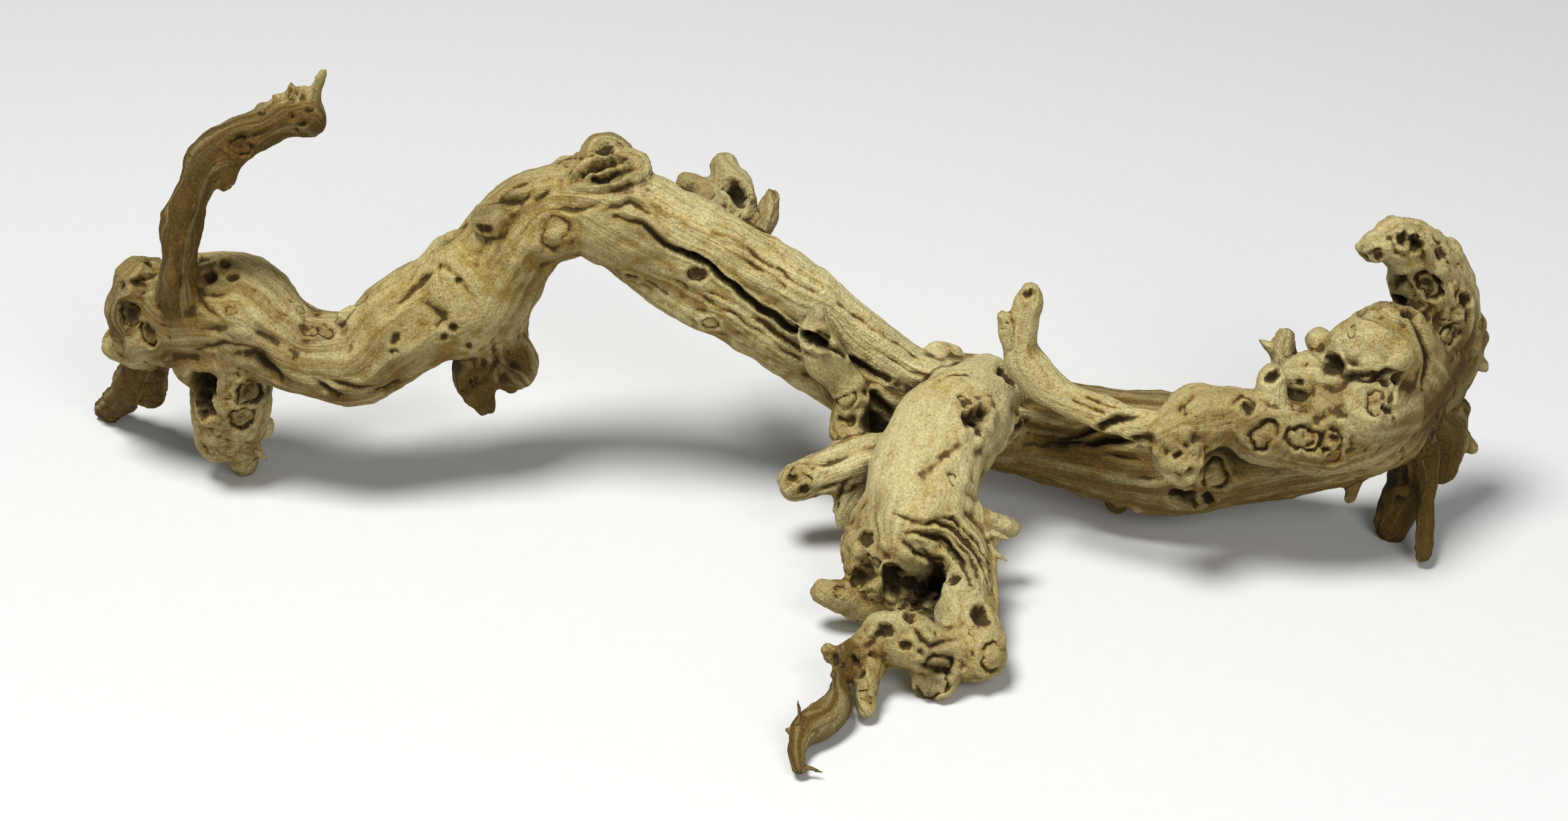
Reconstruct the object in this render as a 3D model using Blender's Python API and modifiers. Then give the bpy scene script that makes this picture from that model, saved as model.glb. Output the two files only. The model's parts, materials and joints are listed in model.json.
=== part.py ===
import math

import bpy
import bmesh
import numpy as np
from mathutils import Vector, noise
from mathutils.bvhtree import BVHTree

# A sandblasted grapevine: one gnarled piece of weathered vine wood, lying on a surface.
# Metres, +Z up, the surface at Z = 0, the long axis along X, the front towards -Y.

# Driving sizes, in millimetres unless the name says otherwise.
MM = 0.001
LOOK_DOWN = math.radians(30.0)      # the wood is laid out as seen from this height above level
LOOK_FROM = 2000.0                  # distance of that eye from the middle of the layout
SURFACE = -59.0                     # height of the surface below the middle of the layout
MIDDLE_X = -13.0                    # middle of the finished wood, so the origin stands under it
MIDDLE_Y = -112.0
GRAIN_SIZE = 2.0                    # edge of the small cubes that fuse the limbs
FILLET_ROUNDS = 30                  # how far the forks between limbs fill in
REGAIN = 0.6                        # what smoothing takes off each side, given back
FACES = 11600
LUMP_HEIGHT = 2.4
LUMP_SPREAD = 28.0
LUMP_SEED = 3.0
FILL_STEP = 0.9                     # share of a hollow that each round of filling takes away
RIM_PLACE = 1.25                    # middle of a knot's swollen rim, in hole radii
RIM_WIDTH = 0.4
TURN_TO_EYE = 0.6                   # how far a hole leans from the surface's direction to the line of sight

WOOD_COLOUR = (0.50, 0.40, 0.22, 1.0)
WOOD_ROUGHNESS = 0.85

# Each limb is a row of stations: across, up, depth, radius.
# Across and up are read square to the line of sight, depth is the real front to back place.
LIMBS = {
    "trunk": [
        (-406, 72, 26, 21), (-392, 69, 20, 33), (-354, 65, 10, 35), (-332, 49, 0, 30),
        (-312, 38, -5, 28), (-292, 35, -8, 30), (-272, 36, -8, 30), (-252, 53, -5, 33),
        (-232, 65, 0, 33), (-208, 72, 5, 38), (-190, 92, 8, 35), (-170, 119, 10, 32.5),
        (-148, 130, 8, 31.5), (-126, 134, 4, 32), (-112, 130, 0, 34), (-92, 119, 2, 33)],
    "upper_strand": [
        (-112, 144, -4, 20), (-88, 136, -6, 18), (-72, 126, -8, 19), (-32, 104, -10, 20.5),
        (8, 79, -12, 21), (48, 49, -16, 17.5), (88, 22, -20, 17), (116, 14, -22, 22)],
    "lower_strand": [
        (-112, 116, -2, 18), (-92, 99, -4, 18), (-72, 82, -8, 18), (-32, 59, -10, 15.5),
        (8, 33, -14, 15), (48, 6, -20, 13.5), (72, -10, -26, 14), (96, -22, -34, 16)],
    "middle_of_trunk": [
        (-92, 116, 8, 32), (-52, 92, 12, 30), (-12, 66, 10, 31), (28, 38, 4, 27),
        (68, 14, -4, 25), (112, 5, -12, 32), (128, 0, -16, 34)],
    "right_arm": [
        (128, 0, -16, 34), (146, -6, -18, 34), (168, -12, -22, 33), (208, -21, -30, 36),
        (248, -28, -40, 40), (288, -27, -46, 36), (328, -26, -52, 30), (364, -22, -58, 27),
        (396, -10, -64, 26)],
    "left_head": [(-402, 46, 16, 17), (-422, 60, 30, 19), (-419, 82, 30, 19)],
    "left_head_low": [(-400, 56, 16, 24), (-420, 44, 28, 18), (-431, 44, 32, 13)],
    "left_leg": [
        (-414, 44, 36, 13), (-421, 26, 50, 13), (-431, 10, 75, 11), (-440, 1, 91, 9)],
    "left_leg_lobe": [(-412, 36, 44, 12), (-414, 18, 58, 10), (-414, 10, 64, 9)],
    "tall_cane": [
        (-394, 24, -6, 11), (-396, 44, -16, 13), (-396, 76, -17, 12), (-394, 100, -15, 12),
        (-392, 128, -14, 13), (-388, 139, -12, 11), (-384, 148, -11, 12), (-376, 165, -9, 15),
        (-360, 175, -6, 14), (-344, 182, -2, 13.5), (-328, 190, 2, 13.5), (-315, 192, 4, 13.5),
        (-312, 190, 5, 12)],
    "cane_hook": [(-362, 166, -12, 10), (-364, 154, -14, 6.5), (-366, 147, -14, 3)],
    "cane_spike": [(-310, 196, 4, 6), (-304, 213, 3, 3.5), (-301, 222, 2, 2.5)],
    "cane_horn": [(-322, 197, 4, 6), (-323, 207, 4, 4), (-322, 212, 4, 2.6)],
    "cane_thorn": [(-324, 202, 3, 4), (-333, 206, 2, 2.6)],
    "left_foot": [
        (-358, 50, 6, 28), (-360, 28, 4, 26), (-361, 6, 8, 27), (-361, -14, 14, 21),
        (-354, -28, 18, 12), (-353, -35, 20, 9.5)],
    "left_foot_toe": [(-364, -8, 8, 14), (-376, -20, 10, 9), (-372, -27, 12, 8)],
    "shoulder": [(-206, 84, 4, 36), (-196, 64, 8, 30), (-190, 46, 12, 22), (-178, 30, 12, 18)],
    "shoulder_foot": [(-194, 40, 8, 20), (-201, 18, 2, 14), (-195, 4, 0, 8)],
    "scar_rim": [
        (-142, 147, -9, 4), (-128, 161, 4, 4), (-112, 166, 4, 5), (-97, 164, 2, 6),
        (-93, 155, -8, 5), (-108, 148, -16, 4), (-126, 145, -16, 4), (-142, 147, -9, 4)],
    "arch_knob": [(-122, 156, 10, 16), (-116, 172, 18, 11)],
    "back_stub": [(-36, 112, 16, 18), (-33, 139, 36, 15), (-36, 151, 50, 12), (-39, 160, 60, 9)],
    "back_stub_lobe": [(-40, 138, 36, 12), (-54, 144, 46, 8), (-64, 148, 52, 7)],
    "splinter": [(-16, 118, 12, 10), (-10, 132, 16, 7), (-8, 141, 18, 3)],
    "front_spur": [
        (48, -30, -52, 13), (43, -8, -46, 12), (44, 8, -44, 11), (36, 22, -44, 11),
        (28, 32, -46, 13), (22, 48, -48, 12), (22, 60, -49, 8), (23, 67, -49, 5.5)],
    "log_stub": [(84, -30, -66, 18), (60, -32, -68, 17), (36, -39, -70, 16), (9, -47, -72, 13)],
    "log_drip": [(58, -46, -74, 14), (43, -60, -76, 11), (41, -70, -78, 7)],
    "front_limb": [
        (132, 8, -28, 28), (112, -8, -62, 34), (98, -28, -88, 36), (90, -50, -112, 36),
        (84, -72, -134, 33), (80, -82, -144, 30)],
    "front_under": [(72, -72, -130, 26), (62, -90, -144, 25), (64, -106, -154, 23), (90, -116, -160, 20)],
    "under_stub": [(66, -118, -158, 16), (52, -128, -166, 12), (38, -121, -168, 10), (25, -117, -168, 7)],
    "right_stub": [(108, -68, -128, 13), (132, -73, -126, 7.5), (147, -76, -122, 7)],
    "front_arm": [
        (92, -80, -140, 22), (110, -86, -150, 18), (119, -98, -164, 15), (121, -112, -178, 14),
        (118, -130, -198, 19), (124, -148, -214, 20), (126, -160, -226, 18)],
    "front_arm_back": [(118, -70, -128, 13), (130, -94, -150, 8), (132, -124, -186, 8), (131, -146, -210, 10)],
    "front_bar": [
        (124, -156, -220, 18), (104, -159, -230, 15), (80, -151, -228, 19), (64, -149, -226, 17),
        (52, -160, -232, 14)],
    "front_burl": [(112, -162, -228, 15), (98, -175, -236, 15)],
    "bar_knuckle": [(56, -152, -228, 13), (42, -160, -234, 9), (31, -158, -234, 5)],
    "bar_stub": [(56, -166, -236, 11), (54, -182, -254, 8), (54, -194, -264, 6)],
    "tip_cane": [
        (44, -160, -236, 9), (38, -170, -246, 6.5), (36, -180, -258, 6.5), (35, -190, -268, 9),
        (25, -202, -280, 11), (13, -210, -292, 8), (9, -222, -305, 5), (10, -234, -320, 4.5)],
    "front_cane": [
        (258, -20, -112, 17), (240, -12, -112, 11), (224, -8, -108, 9.5), (200, 2, -98, 10),
        (176, 12, -88, 11), (162, 26, -80, 13), (155, 40, -78, 11), (157, 56, -76, 9),
        (160, 71, -74, 10)],
    "cane_splinter": [(154, 40, -78, 9), (146, 52, -78, 6), (143, 63, -78, 3)],
    "front_right": [
        (256, -12, -112, 18), (268, -6, -106, 22), (280, -4, -104, 21), (292, -4, -104, 18),
        (314, -13, -106, 22), (336, -17, -104, 23), (360, -16, -98, 25), (384, -6, -88, 26)],
    "knuckle": [(258, -20, -114, 16), (257, -29, -118, 18)],
    "fork_stub": [(318, 4, -102, 12), (320, 20, -100, 6.5)],
    "flat_stub": [(330, 4, -98, 12), (328, 24, -92, 9), (328, 42, -86, 8), (330, 50, -84, 7)],
    "head_core": [(384, -10, -72, 28), (404, 18, -58, 29), (424, 44, -42, 24), (428, 68, -36, 26),
                  (420, 88, -38, 26), (412, 104, -44, 20), (398, 110, -54, 16), (387, 107, -60, 11)],
    "head_lobe_a": [(404, 24, -62, 26), (390, 43, -76, 27), (386, 45, -80, 27)],
    "head_lobe_b": [(392, 0, -84, 26), (380, -1, -102, 25)],
    "head_lobe_c": [(372, 14, -80, 24), (346, 24, -78, 19)],
    "head_back": [(422, 12, -44, 19), (436, 40, -34, 21), (444, 58, -36, 13)],
    "head_spike": [(448, 36, -34, 7), (457, 28, -32, 3.5)],
    "head_side": [(418, 4, -44, 20), (432, -14, -34, 16), (430, -38, -40, 9)],
    "leg": [(404, -6, -60, 20), (410, -28, -56, 14), (408, -48, -56, 13), (400, -67, -58, 12),
            (396, -75, -59, 10.5)],
    "thin_leg": [(418, -24, -60, 9), (421, -48, -76, 6), (419, -72, -88, 5.5), (418, -95, -98, 5.5)],
    "twig": [(378, -30, -66, 8), (372, -50, -72, 4.6), (369, -57, -75, 4.4)],
}

# Single knobs: across, up, depth, radius.
KNOBS = [
    (-193, 126, -12, 11), (-382, 30, 0, 15), (-350, 58, -18, 13), (-340, 44, 24, 22),
    (-313, 210, 4, 4), (-376, -2, 14, 8), (-340, -10, 14, 7), (160, 78, -74, 6),
    (144, 52, -26, 10), (349, 46, -64, 8), (450, 47, -36, 9), (442, 1, -32, 7),
    (449, -24, -32, 5.5), (398, 121, -52, 6), (434, 105, -38, 8),
    (30, -157, -236, 4), (134, -148, -216, 5), (134, -86, -128, 6), (114, -62, -130, 8),
    (352, 2, -104, 11), (40, 26, -20, 12), (36, 72, 20, 9), (218, -60, -34, 7), (100, 36, -10, 9)]


def placed(across, up, depth):
    """The point on the line of sight through (across, up) that lies at the given depth, and its scale."""
    scale = (depth + LOOK_FROM * math.cos(LOOK_DOWN)) / (
        up * math.sin(LOOK_DOWN) + LOOK_FROM * math.cos(LOOK_DOWN))
    eye_height = LOOK_FROM * math.sin(LOOK_DOWN)
    height = eye_height + scale * (up * math.cos(LOOK_DOWN) - eye_height)
    place = Vector((scale * across - MIDDLE_X, depth - MIDDLE_Y, height - SURFACE))
    return place * MM, scale


def station(across, up, depth, radius):
    place, scale = placed(across, up, depth)
    return np.array([*place, radius * scale * MM])


def smooth_line(stations, steps=5):
    """Points with radii on a smooth curve through the stations, with rounded ends."""
    rows = [station(*each) for each in stations]
    if len(rows) > 1:
        rows = [2 * rows[0] - rows[1]] + rows + [2 * rows[-1] - rows[-2]]
        line = []
        for before, start, end, after in zip(rows, rows[1:], rows[2:], rows[3:]):
            for step in range(steps):
                t = step / steps
                line.append(0.5 * (2 * start + (end - before) * t
                                   + (2 * before - 5 * start + 4 * end - after) * t ** 2
                                   + (3 * start - before - 3 * end + after) * t ** 3))
        line.append(rows[-2])
    else:
        line = [rows[0]]
    return round_end(round_end(line)[::-1])[::-1]


def round_end(line):
    tip = line[-1]
    along = tip[:3] - line[-2][:3] if len(line) > 1 else np.array([0.0, 0.0, 1.0])
    along = along / np.linalg.norm(along)
    cap = []
    for reach in (0.4, 0.75, 0.95):
        radius = tip[3] * math.sqrt(1 - reach ** 2)
        cap.append(np.array([*(tip[:3] + along * tip[3] * reach), radius]))
    return line + cap


def tube(line):
    """A closed round tube along the line, as a mesh."""
    curve = bpy.data.curves.new("limb", "CURVE")
    curve.dimensions = "3D"
    curve.bevel_depth = 1.0
    curve.bevel_resolution = 4
    curve.use_fill_caps = True
    spline = curve.splines.new("POLY")
    spline.points.add(len(line) - 1)
    for point, row in zip(spline.points, line):
        point.co = (*row[:3], 1.0)
        point.radius = row[3]
    guide = bpy.data.objects.new("limb", curve)
    bpy.context.scene.collection.objects.link(guide)
    bpy.context.view_layer.update()
    mesh = bpy.data.meshes.new_from_object(guide.evaluated_get(bpy.context.evaluated_depsgraph_get()))
    bpy.data.objects.remove(guide)
    return mesh


def ball(across, up, depth, radius):
    place, scale = placed(across, up, depth)
    return place, radius * scale * MM


# Knot holes seen from the front: across, up, radius, depth, height of the swollen rim.
HOLLOWS = [
    (-378, 12, 10, 9, 1), (-347, 10, 7, 4, 2), (-353, -7, 7, 4, 2), (-370, 94, 10, 3, 2.5),
    (-426, 60, 12, 8, 0), (-354, 170, 7, 4, 2), (-310, 52, 5, 3, 1.5), (-299, 52, 5, 3, 1.5),
    (-147, 154, 6, 4, 1), (-118, 158, 11, 3, 0), (-57, 90, 7, 4, 2.5), (-32, 144, 7, 5, 1),
    (20, 45, 8, 7, 2), (43, 6, 7, 3, 2), (8, -48, 8, 3, 1), (122, -8, 13, 5, 2.5),
    (84, -122, 8, 6, 1), (66, -144, 6, 4, 1), (128, -134, 7, 6, 1), (98, -175, 9, 4, 1.5),
    (136, -162, 8, 3, 2), (149, -16, 8, 7, 1), (282, -42, 9, 3, 3), (260, -56, 9, 6, 1),
    (146, 22, 6, 5, 1), (250, -26, 8, 6, 2), (313, -17, 10, 4, 2.5), (340, -18, 9, 4, 2.5),
    (358, -22, 8, 4, 2), (408, 110, 8, 6, 2), (422, 79, 10, 7, 2), (436, 50, 8, 5, 1),
    (386, 6, 8, 6, 1.5), (394, 18, 6, 4, 1), (360, 30, 8, 6, 1.5), (408, 68, 8, 5, 1.5)]

# Grooves and ridges along rows of points seen from the front: half width, depth (below 0 it rises).
GROOVES = [
    (3.5, 6, [(-108, 127), (-92, 121), (-76, 108), (-64, 100), (-58, 99)]),
    (3.5, 7, [(-48, 100), (-40, 86), (-16, 68), (8, 52), (37, 38), (56, 26), (68, 20)]),
    (4, 6, [(53, 13), (62, 6), (72, -4)]),
    (4, 5, [(-306, 19), (-294, 12), (-276, 10), (-260, 14), (-250, 19)]),
    (5, 7, [(-354, 34), (-336, 28), (-326, 18)]),
    (5, 3, [(-380, 52), (-352, 56), (-336, 48), (-320, 36)]),
    (5, 3, [(116, -20), (88, -44)]),
    (5, 4, [(-196, 134), (-172, 137), (-164, 143), (-150, 144)]),
    (3.5, 5, [(168, -18), (192, -17), (214, -8)]),
    (3.5, 5, [(164, -22), (196, -21), (236, -18)]),
    (3.5, 4, [(84, -140), (90, -150), (96, -153), (111, -149)]),
    (3, 3, [(-204, 62), (-190, 74), (-178, 92), (-164, 104)]), (4, 3, [(-236, 84), (-222, 62), (-206, 48)])]

HIDDEN_KNOTS = 46                   # knots on the sides that the layout doesn't show
HIDDEN_SEED = 7
HIDDEN_SMALLEST = 4.0
HIDDEN_SPREAD = 6.0                 # the largest is this much over the smallest
HIDDEN_DEPTH = 0.5                  # in hole radii
HIDDEN_RIM = 0.25
HIDDEN_TURN = -0.15                 # a spot is hidden where it faces this far away from the eye
CLEAR_OF_SURFACE = 12.0
KNOTTED = ["trunk", "middle_of_trunk", "right_arm", "front_limb", "left_foot", "head_core", "front_right",
           "left_head", "head_lobe_a", "shoulder", "front_bar"]


def fused(meshes):
    """One fine closed skin around all the pieces, without what lies inside."""
    rough = bmesh.new()
    for mesh in meshes:
        rough.from_mesh(mesh)
        bpy.data.meshes.remove(mesh)
    bmesh.ops.remove_doubles(rough, verts=rough.verts, dist=1e-6)
    for across, up, depth, radius in KNOBS:
        place, size = ball(across, up, depth, radius)
        made = bmesh.ops.create_icosphere(rough, subdivisions=3, radius=size)
        bmesh.ops.translate(rough, verts=made["verts"], vec=place)
    mesh = bpy.data.meshes.new("limbs")
    rough.to_mesh(mesh)
    rough.free()
    guide = bpy.data.objects.new("limbs", mesh)
    bpy.context.scene.collection.objects.link(guide)
    remesh = guide.modifiers.new("Fuse", "REMESH")
    remesh.mode = "VOXEL"
    remesh.voxel_size = GRAIN_SIZE * MM
    bpy.context.view_layer.update()
    skin = bpy.data.meshes.new_from_object(guide.evaluated_get(bpy.context.evaluated_depsgraph_get()))
    bpy.data.objects.remove(guide)
    return outer_body(skin)


def outer_body(mesh):
    """The mesh with only its largest connected body."""
    bm = bmesh.new()
    bm.from_mesh(mesh)
    bodies = []
    seen = set()
    for first in bm.verts:
        if first in seen:
            continue
        body = {first}
        edge_of_body = [first]
        while edge_of_body:
            for edge in edge_of_body.pop().link_edges:
                for vert in edge.verts:
                    if vert not in body:
                        body.add(vert)
                        edge_of_body.append(vert)
        seen |= body
        bodies.append(body)
    bodies.sort(key=len)
    for body in bodies[:-1]:
        bmesh.ops.delete(bm, geom=list(body), context="VERTS")
    bm.to_mesh(mesh)
    bm.free()
    return mesh


class Skin:
    """The points of a mesh, with the moves that shape it."""

    def __init__(self, mesh):
        self.mesh = mesh
        count = len(mesh.vertices)
        self.points = np.empty(count * 3)
        mesh.vertices.foreach_get("co", self.points)
        self.points = self.points.reshape(-1, 3)
        edges = np.empty(len(mesh.edges) * 2, dtype=np.int64)
        mesh.edges.foreach_get("vertices", edges)
        self.ends = edges.reshape(-1, 2)
        self.valence = np.bincount(self.ends.ravel(), minlength=count)

    def write(self):
        self.mesh.vertices.foreach_set("co", self.points.ravel())
        self.mesh.update()

    def normals(self):
        self.write()
        normals = np.empty(len(self.points) * 3)
        self.mesh.vertex_normals.foreach_get("vector", normals)
        return normals.reshape(-1, 3)

    def neighbour_mean(self):
        total = np.empty_like(self.points)
        first, second = self.ends.T
        for axis in range(3):
            values = self.points[:, axis]
            total[:, axis] = (np.bincount(first, values[second], len(values))
                              + np.bincount(second, values[first], len(values)))
        return total / self.valence[:, None]

    def relax(self, rounds):
        for _ in range(rounds):
            self.points += 0.5 * (self.neighbour_mean() - self.points)

    def fill_forks(self, rounds):
        """Fill in hollow creases and leave every swelling as it is."""
        for _ in range(rounds):
            normals = self.normals()
            lift = ((self.neighbour_mean() - self.points) * normals).sum(axis=1)
            self.points += FILL_STEP * np.maximum(lift, 0)[:, None] * normals

    def tree(self):
        self.write()
        faces = [tuple(polygon.vertices) for polygon in self.mesh.polygons]
        return BVHTree.FromPolygons([Vector(point) for point in self.points], faces)

    def swell(self, height, spread, seed):
        """Low lumps all over."""
        offset = Vector((seed, -seed, 2 * seed))
        rise = np.array([noise.fractal(Vector(point) / (spread * MM) + offset, 0.8, 2.1, 3)
                         for point in self.points])
        self.points += self.normals() * (rise * height * MM)[:, None]

    def knot(self, place, normal, radius, depth, rim):
        """A round hole with a swollen rim."""
        away = np.linalg.norm(self.points - place, axis=1) / (radius * MM)
        facing = (self.normals() @ normal) > -0.2
        hole = np.clip(1 - away ** 2, 0, 1) ** 0.8
        swelling = np.exp(-((away - RIM_PLACE) / RIM_WIDTH) ** 2)
        self.points += np.outer((rim * swelling - depth * hole) * facing * MM, normal)

    def groove(self, route, normals, half_width, depth):
        """A groove along the route, or a ridge where the depth is below zero."""
        near = np.full(len(self.points), np.inf)
        out = np.zeros_like(self.points)
        for start, end, normal in zip(route, route[1:], normals):
            along = end - start
            t = np.clip((self.points - start) @ along / (along @ along), 0, 1)
            away = np.linalg.norm(self.points - start - t[:, None] * along, axis=1)
            closer = away < near
            near[closer] = away[closer]
            out[closer] = normal
        push = np.exp(-(near / (half_width * MM)) ** 2) * depth * MM
        self.points -= out * push[:, None]


def seen_point(tree, across, up):
    """Where the line of sight through (across, up) meets the wood, with the surface's direction there."""
    eye = Vector((-MIDDLE_X, -LOOK_FROM * math.cos(LOOK_DOWN) - MIDDLE_Y,
                  LOOK_FROM * math.sin(LOOK_DOWN) - SURFACE)) * MM
    aim, _ = placed(across, up, 0.0)
    place, normal, _, _ = tree.ray_cast(eye, (aim - eye).normalized())
    if place is None:
        return None
    toward_eye = (eye - place).normalized()
    return np.array(place), np.array((normal + TURN_TO_EYE * toward_eye).normalized())


def hidden_spots(tree, lines):
    """Seeded spots on the back and underside of the thicker limbs."""
    noise.seed_set(HIDDEN_SEED)
    spots = []
    eye_side = Vector((0, -math.cos(LOOK_DOWN), math.sin(LOOK_DOWN)))
    while len(spots) < HIDDEN_KNOTS:
        line = lines[KNOTTED[int(noise.random() * len(KNOTTED))]]
        row = line[int(noise.random() * len(line))]
        side = noise.random_unit_vector()
        if side.dot(eye_side) > HIDDEN_TURN:
            continue
        centre = Vector(row[:3])
        place, normal, _, _ = tree.ray_cast(centre + side * row[3] * 2, -side)
        if place is not None and place.z > CLEAR_OF_SURFACE * MM:
            radius = HIDDEN_SMALLEST + HIDDEN_SPREAD * noise.random()
            spots.append((np.array(place), np.array(normal), radius))
    return spots


def carve(skin, lines):
    tree = skin.tree()
    for across, up, radius, depth, rim in HOLLOWS:
        spot = seen_point(tree, across, up)
        if spot:
            skin.knot(*spot, radius, depth, rim)
    for half_width, depth, route in GROOVES:
        spots = [spot for spot in (seen_point(tree, *point) for point in route) if spot]
        skin.groove([spot[0] for spot in spots], [spot[1] for spot in spots], half_width, depth)
    for place, normal, radius in hidden_spots(tree, lines):
        skin.knot(place, normal, radius, HIDDEN_DEPTH * radius, HIDDEN_RIM * radius)


def wood_material():
    material = bpy.data.materials.new("blasted_wood")
    material.use_nodes = True
    shader = material.node_tree.nodes["Principled BSDF"]
    shader.inputs["Base Color"].default_value = WOOD_COLOUR
    shader.inputs["Roughness"].default_value = WOOD_ROUGHNESS
    shader.inputs["Metallic"].default_value = 0.0
    return material


def ground_cutter():
    """A block below the surface that cuts the feet flat."""
    mesh = bpy.data.meshes.new("ground_cutter")
    bm = bmesh.new()
    bmesh.ops.create_cube(bm, size=1.0)
    bmesh.ops.scale(bm, verts=bm.verts, vec=(1.4, 1.0, 0.1))
    bmesh.ops.translate(bm, verts=bm.verts, vec=(0, 0, -0.05))
    bm.to_mesh(mesh)
    bm.free()
    cutter = bpy.data.objects.new("ground_cutter", mesh)
    cutter.hide_render = True
    cutter.display_type = "WIRE"
    cutters = bpy.data.collections.new("cutters")
    bpy.context.scene.collection.children.link(cutters)
    cutters.objects.link(cutter)
    return cutter


def main():
    for item in list(bpy.data.objects):
        bpy.data.objects.remove(item)
    lines = {name: smooth_line(stations) for name, stations in LIMBS.items()}
    mesh = fused([tube(line) for line in lines.values()])
    skin = Skin(mesh)
    skin.relax(2)
    skin.points += skin.normals() * REGAIN * MM
    skin.fill_forks(FILLET_ROUNDS)
    skin.swell(LUMP_HEIGHT, LUMP_SPREAD, LUMP_SEED)
    carve(skin, lines)
    skin.relax(1)
    skin.write()
    vine = bpy.data.objects.new("grapevine", mesh)
    collection = bpy.data.collections.new("grapevine")
    bpy.context.scene.collection.children.link(collection)
    collection.objects.link(vine)
    mesh.materials.clear()
    mesh.materials.append(wood_material())
    thin = vine.modifiers.new("Thin", "DECIMATE")
    thin.ratio = FACES / sum(len(polygon.vertices) - 2 for polygon in mesh.polygons)
    cut = vine.modifiers.new("Feet", "BOOLEAN")
    cut.operation = "DIFFERENCE"
    cut.object = ground_cutter()


main()
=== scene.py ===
import json
import math
import bmesh
import bpy
import numpy as np
from mathutils import Matrix, Vector, noise
from mathutils.bvhtree import BVHTree

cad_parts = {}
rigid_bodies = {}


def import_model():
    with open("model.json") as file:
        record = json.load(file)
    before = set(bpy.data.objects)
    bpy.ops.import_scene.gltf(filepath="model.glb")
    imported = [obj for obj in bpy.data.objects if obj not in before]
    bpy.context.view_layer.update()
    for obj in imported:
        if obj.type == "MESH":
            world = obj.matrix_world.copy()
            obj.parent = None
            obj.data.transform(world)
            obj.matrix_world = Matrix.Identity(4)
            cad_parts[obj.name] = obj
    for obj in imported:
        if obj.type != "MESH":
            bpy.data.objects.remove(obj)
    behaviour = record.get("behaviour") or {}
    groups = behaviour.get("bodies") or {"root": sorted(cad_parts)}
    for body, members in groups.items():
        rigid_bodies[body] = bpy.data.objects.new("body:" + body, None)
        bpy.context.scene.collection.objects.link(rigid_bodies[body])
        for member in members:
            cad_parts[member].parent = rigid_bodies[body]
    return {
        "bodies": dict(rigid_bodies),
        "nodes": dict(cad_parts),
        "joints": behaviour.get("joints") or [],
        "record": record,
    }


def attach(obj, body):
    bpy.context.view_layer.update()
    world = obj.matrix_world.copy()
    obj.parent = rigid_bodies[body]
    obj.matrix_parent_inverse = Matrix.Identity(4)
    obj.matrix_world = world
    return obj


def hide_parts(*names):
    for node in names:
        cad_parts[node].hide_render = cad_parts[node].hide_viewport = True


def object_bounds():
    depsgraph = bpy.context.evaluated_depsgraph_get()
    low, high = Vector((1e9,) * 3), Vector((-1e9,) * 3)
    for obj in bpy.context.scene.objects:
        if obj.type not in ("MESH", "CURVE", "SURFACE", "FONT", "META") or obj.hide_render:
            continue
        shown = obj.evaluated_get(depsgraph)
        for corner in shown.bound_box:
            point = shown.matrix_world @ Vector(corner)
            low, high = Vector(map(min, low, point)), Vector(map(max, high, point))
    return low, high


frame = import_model()
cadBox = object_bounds()
mm = 0.001

# The layout is read as the eye of the photograph sees it: across and up are millimetres square to
# the line of sight, depth is the real place from front to back.
eyeSettings = {
    "lookDown": math.radians(30.0),
    "distance": 2000.0,
    "pictureWidth": 1024.0,  # what the picture spans at that distance
    "surface": -59.0,        # the surface lies this far below the middle of the layout
    "middleX": -13.0,
    "middleY": -112.0,
    "sensor": 36.0,
}

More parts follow.
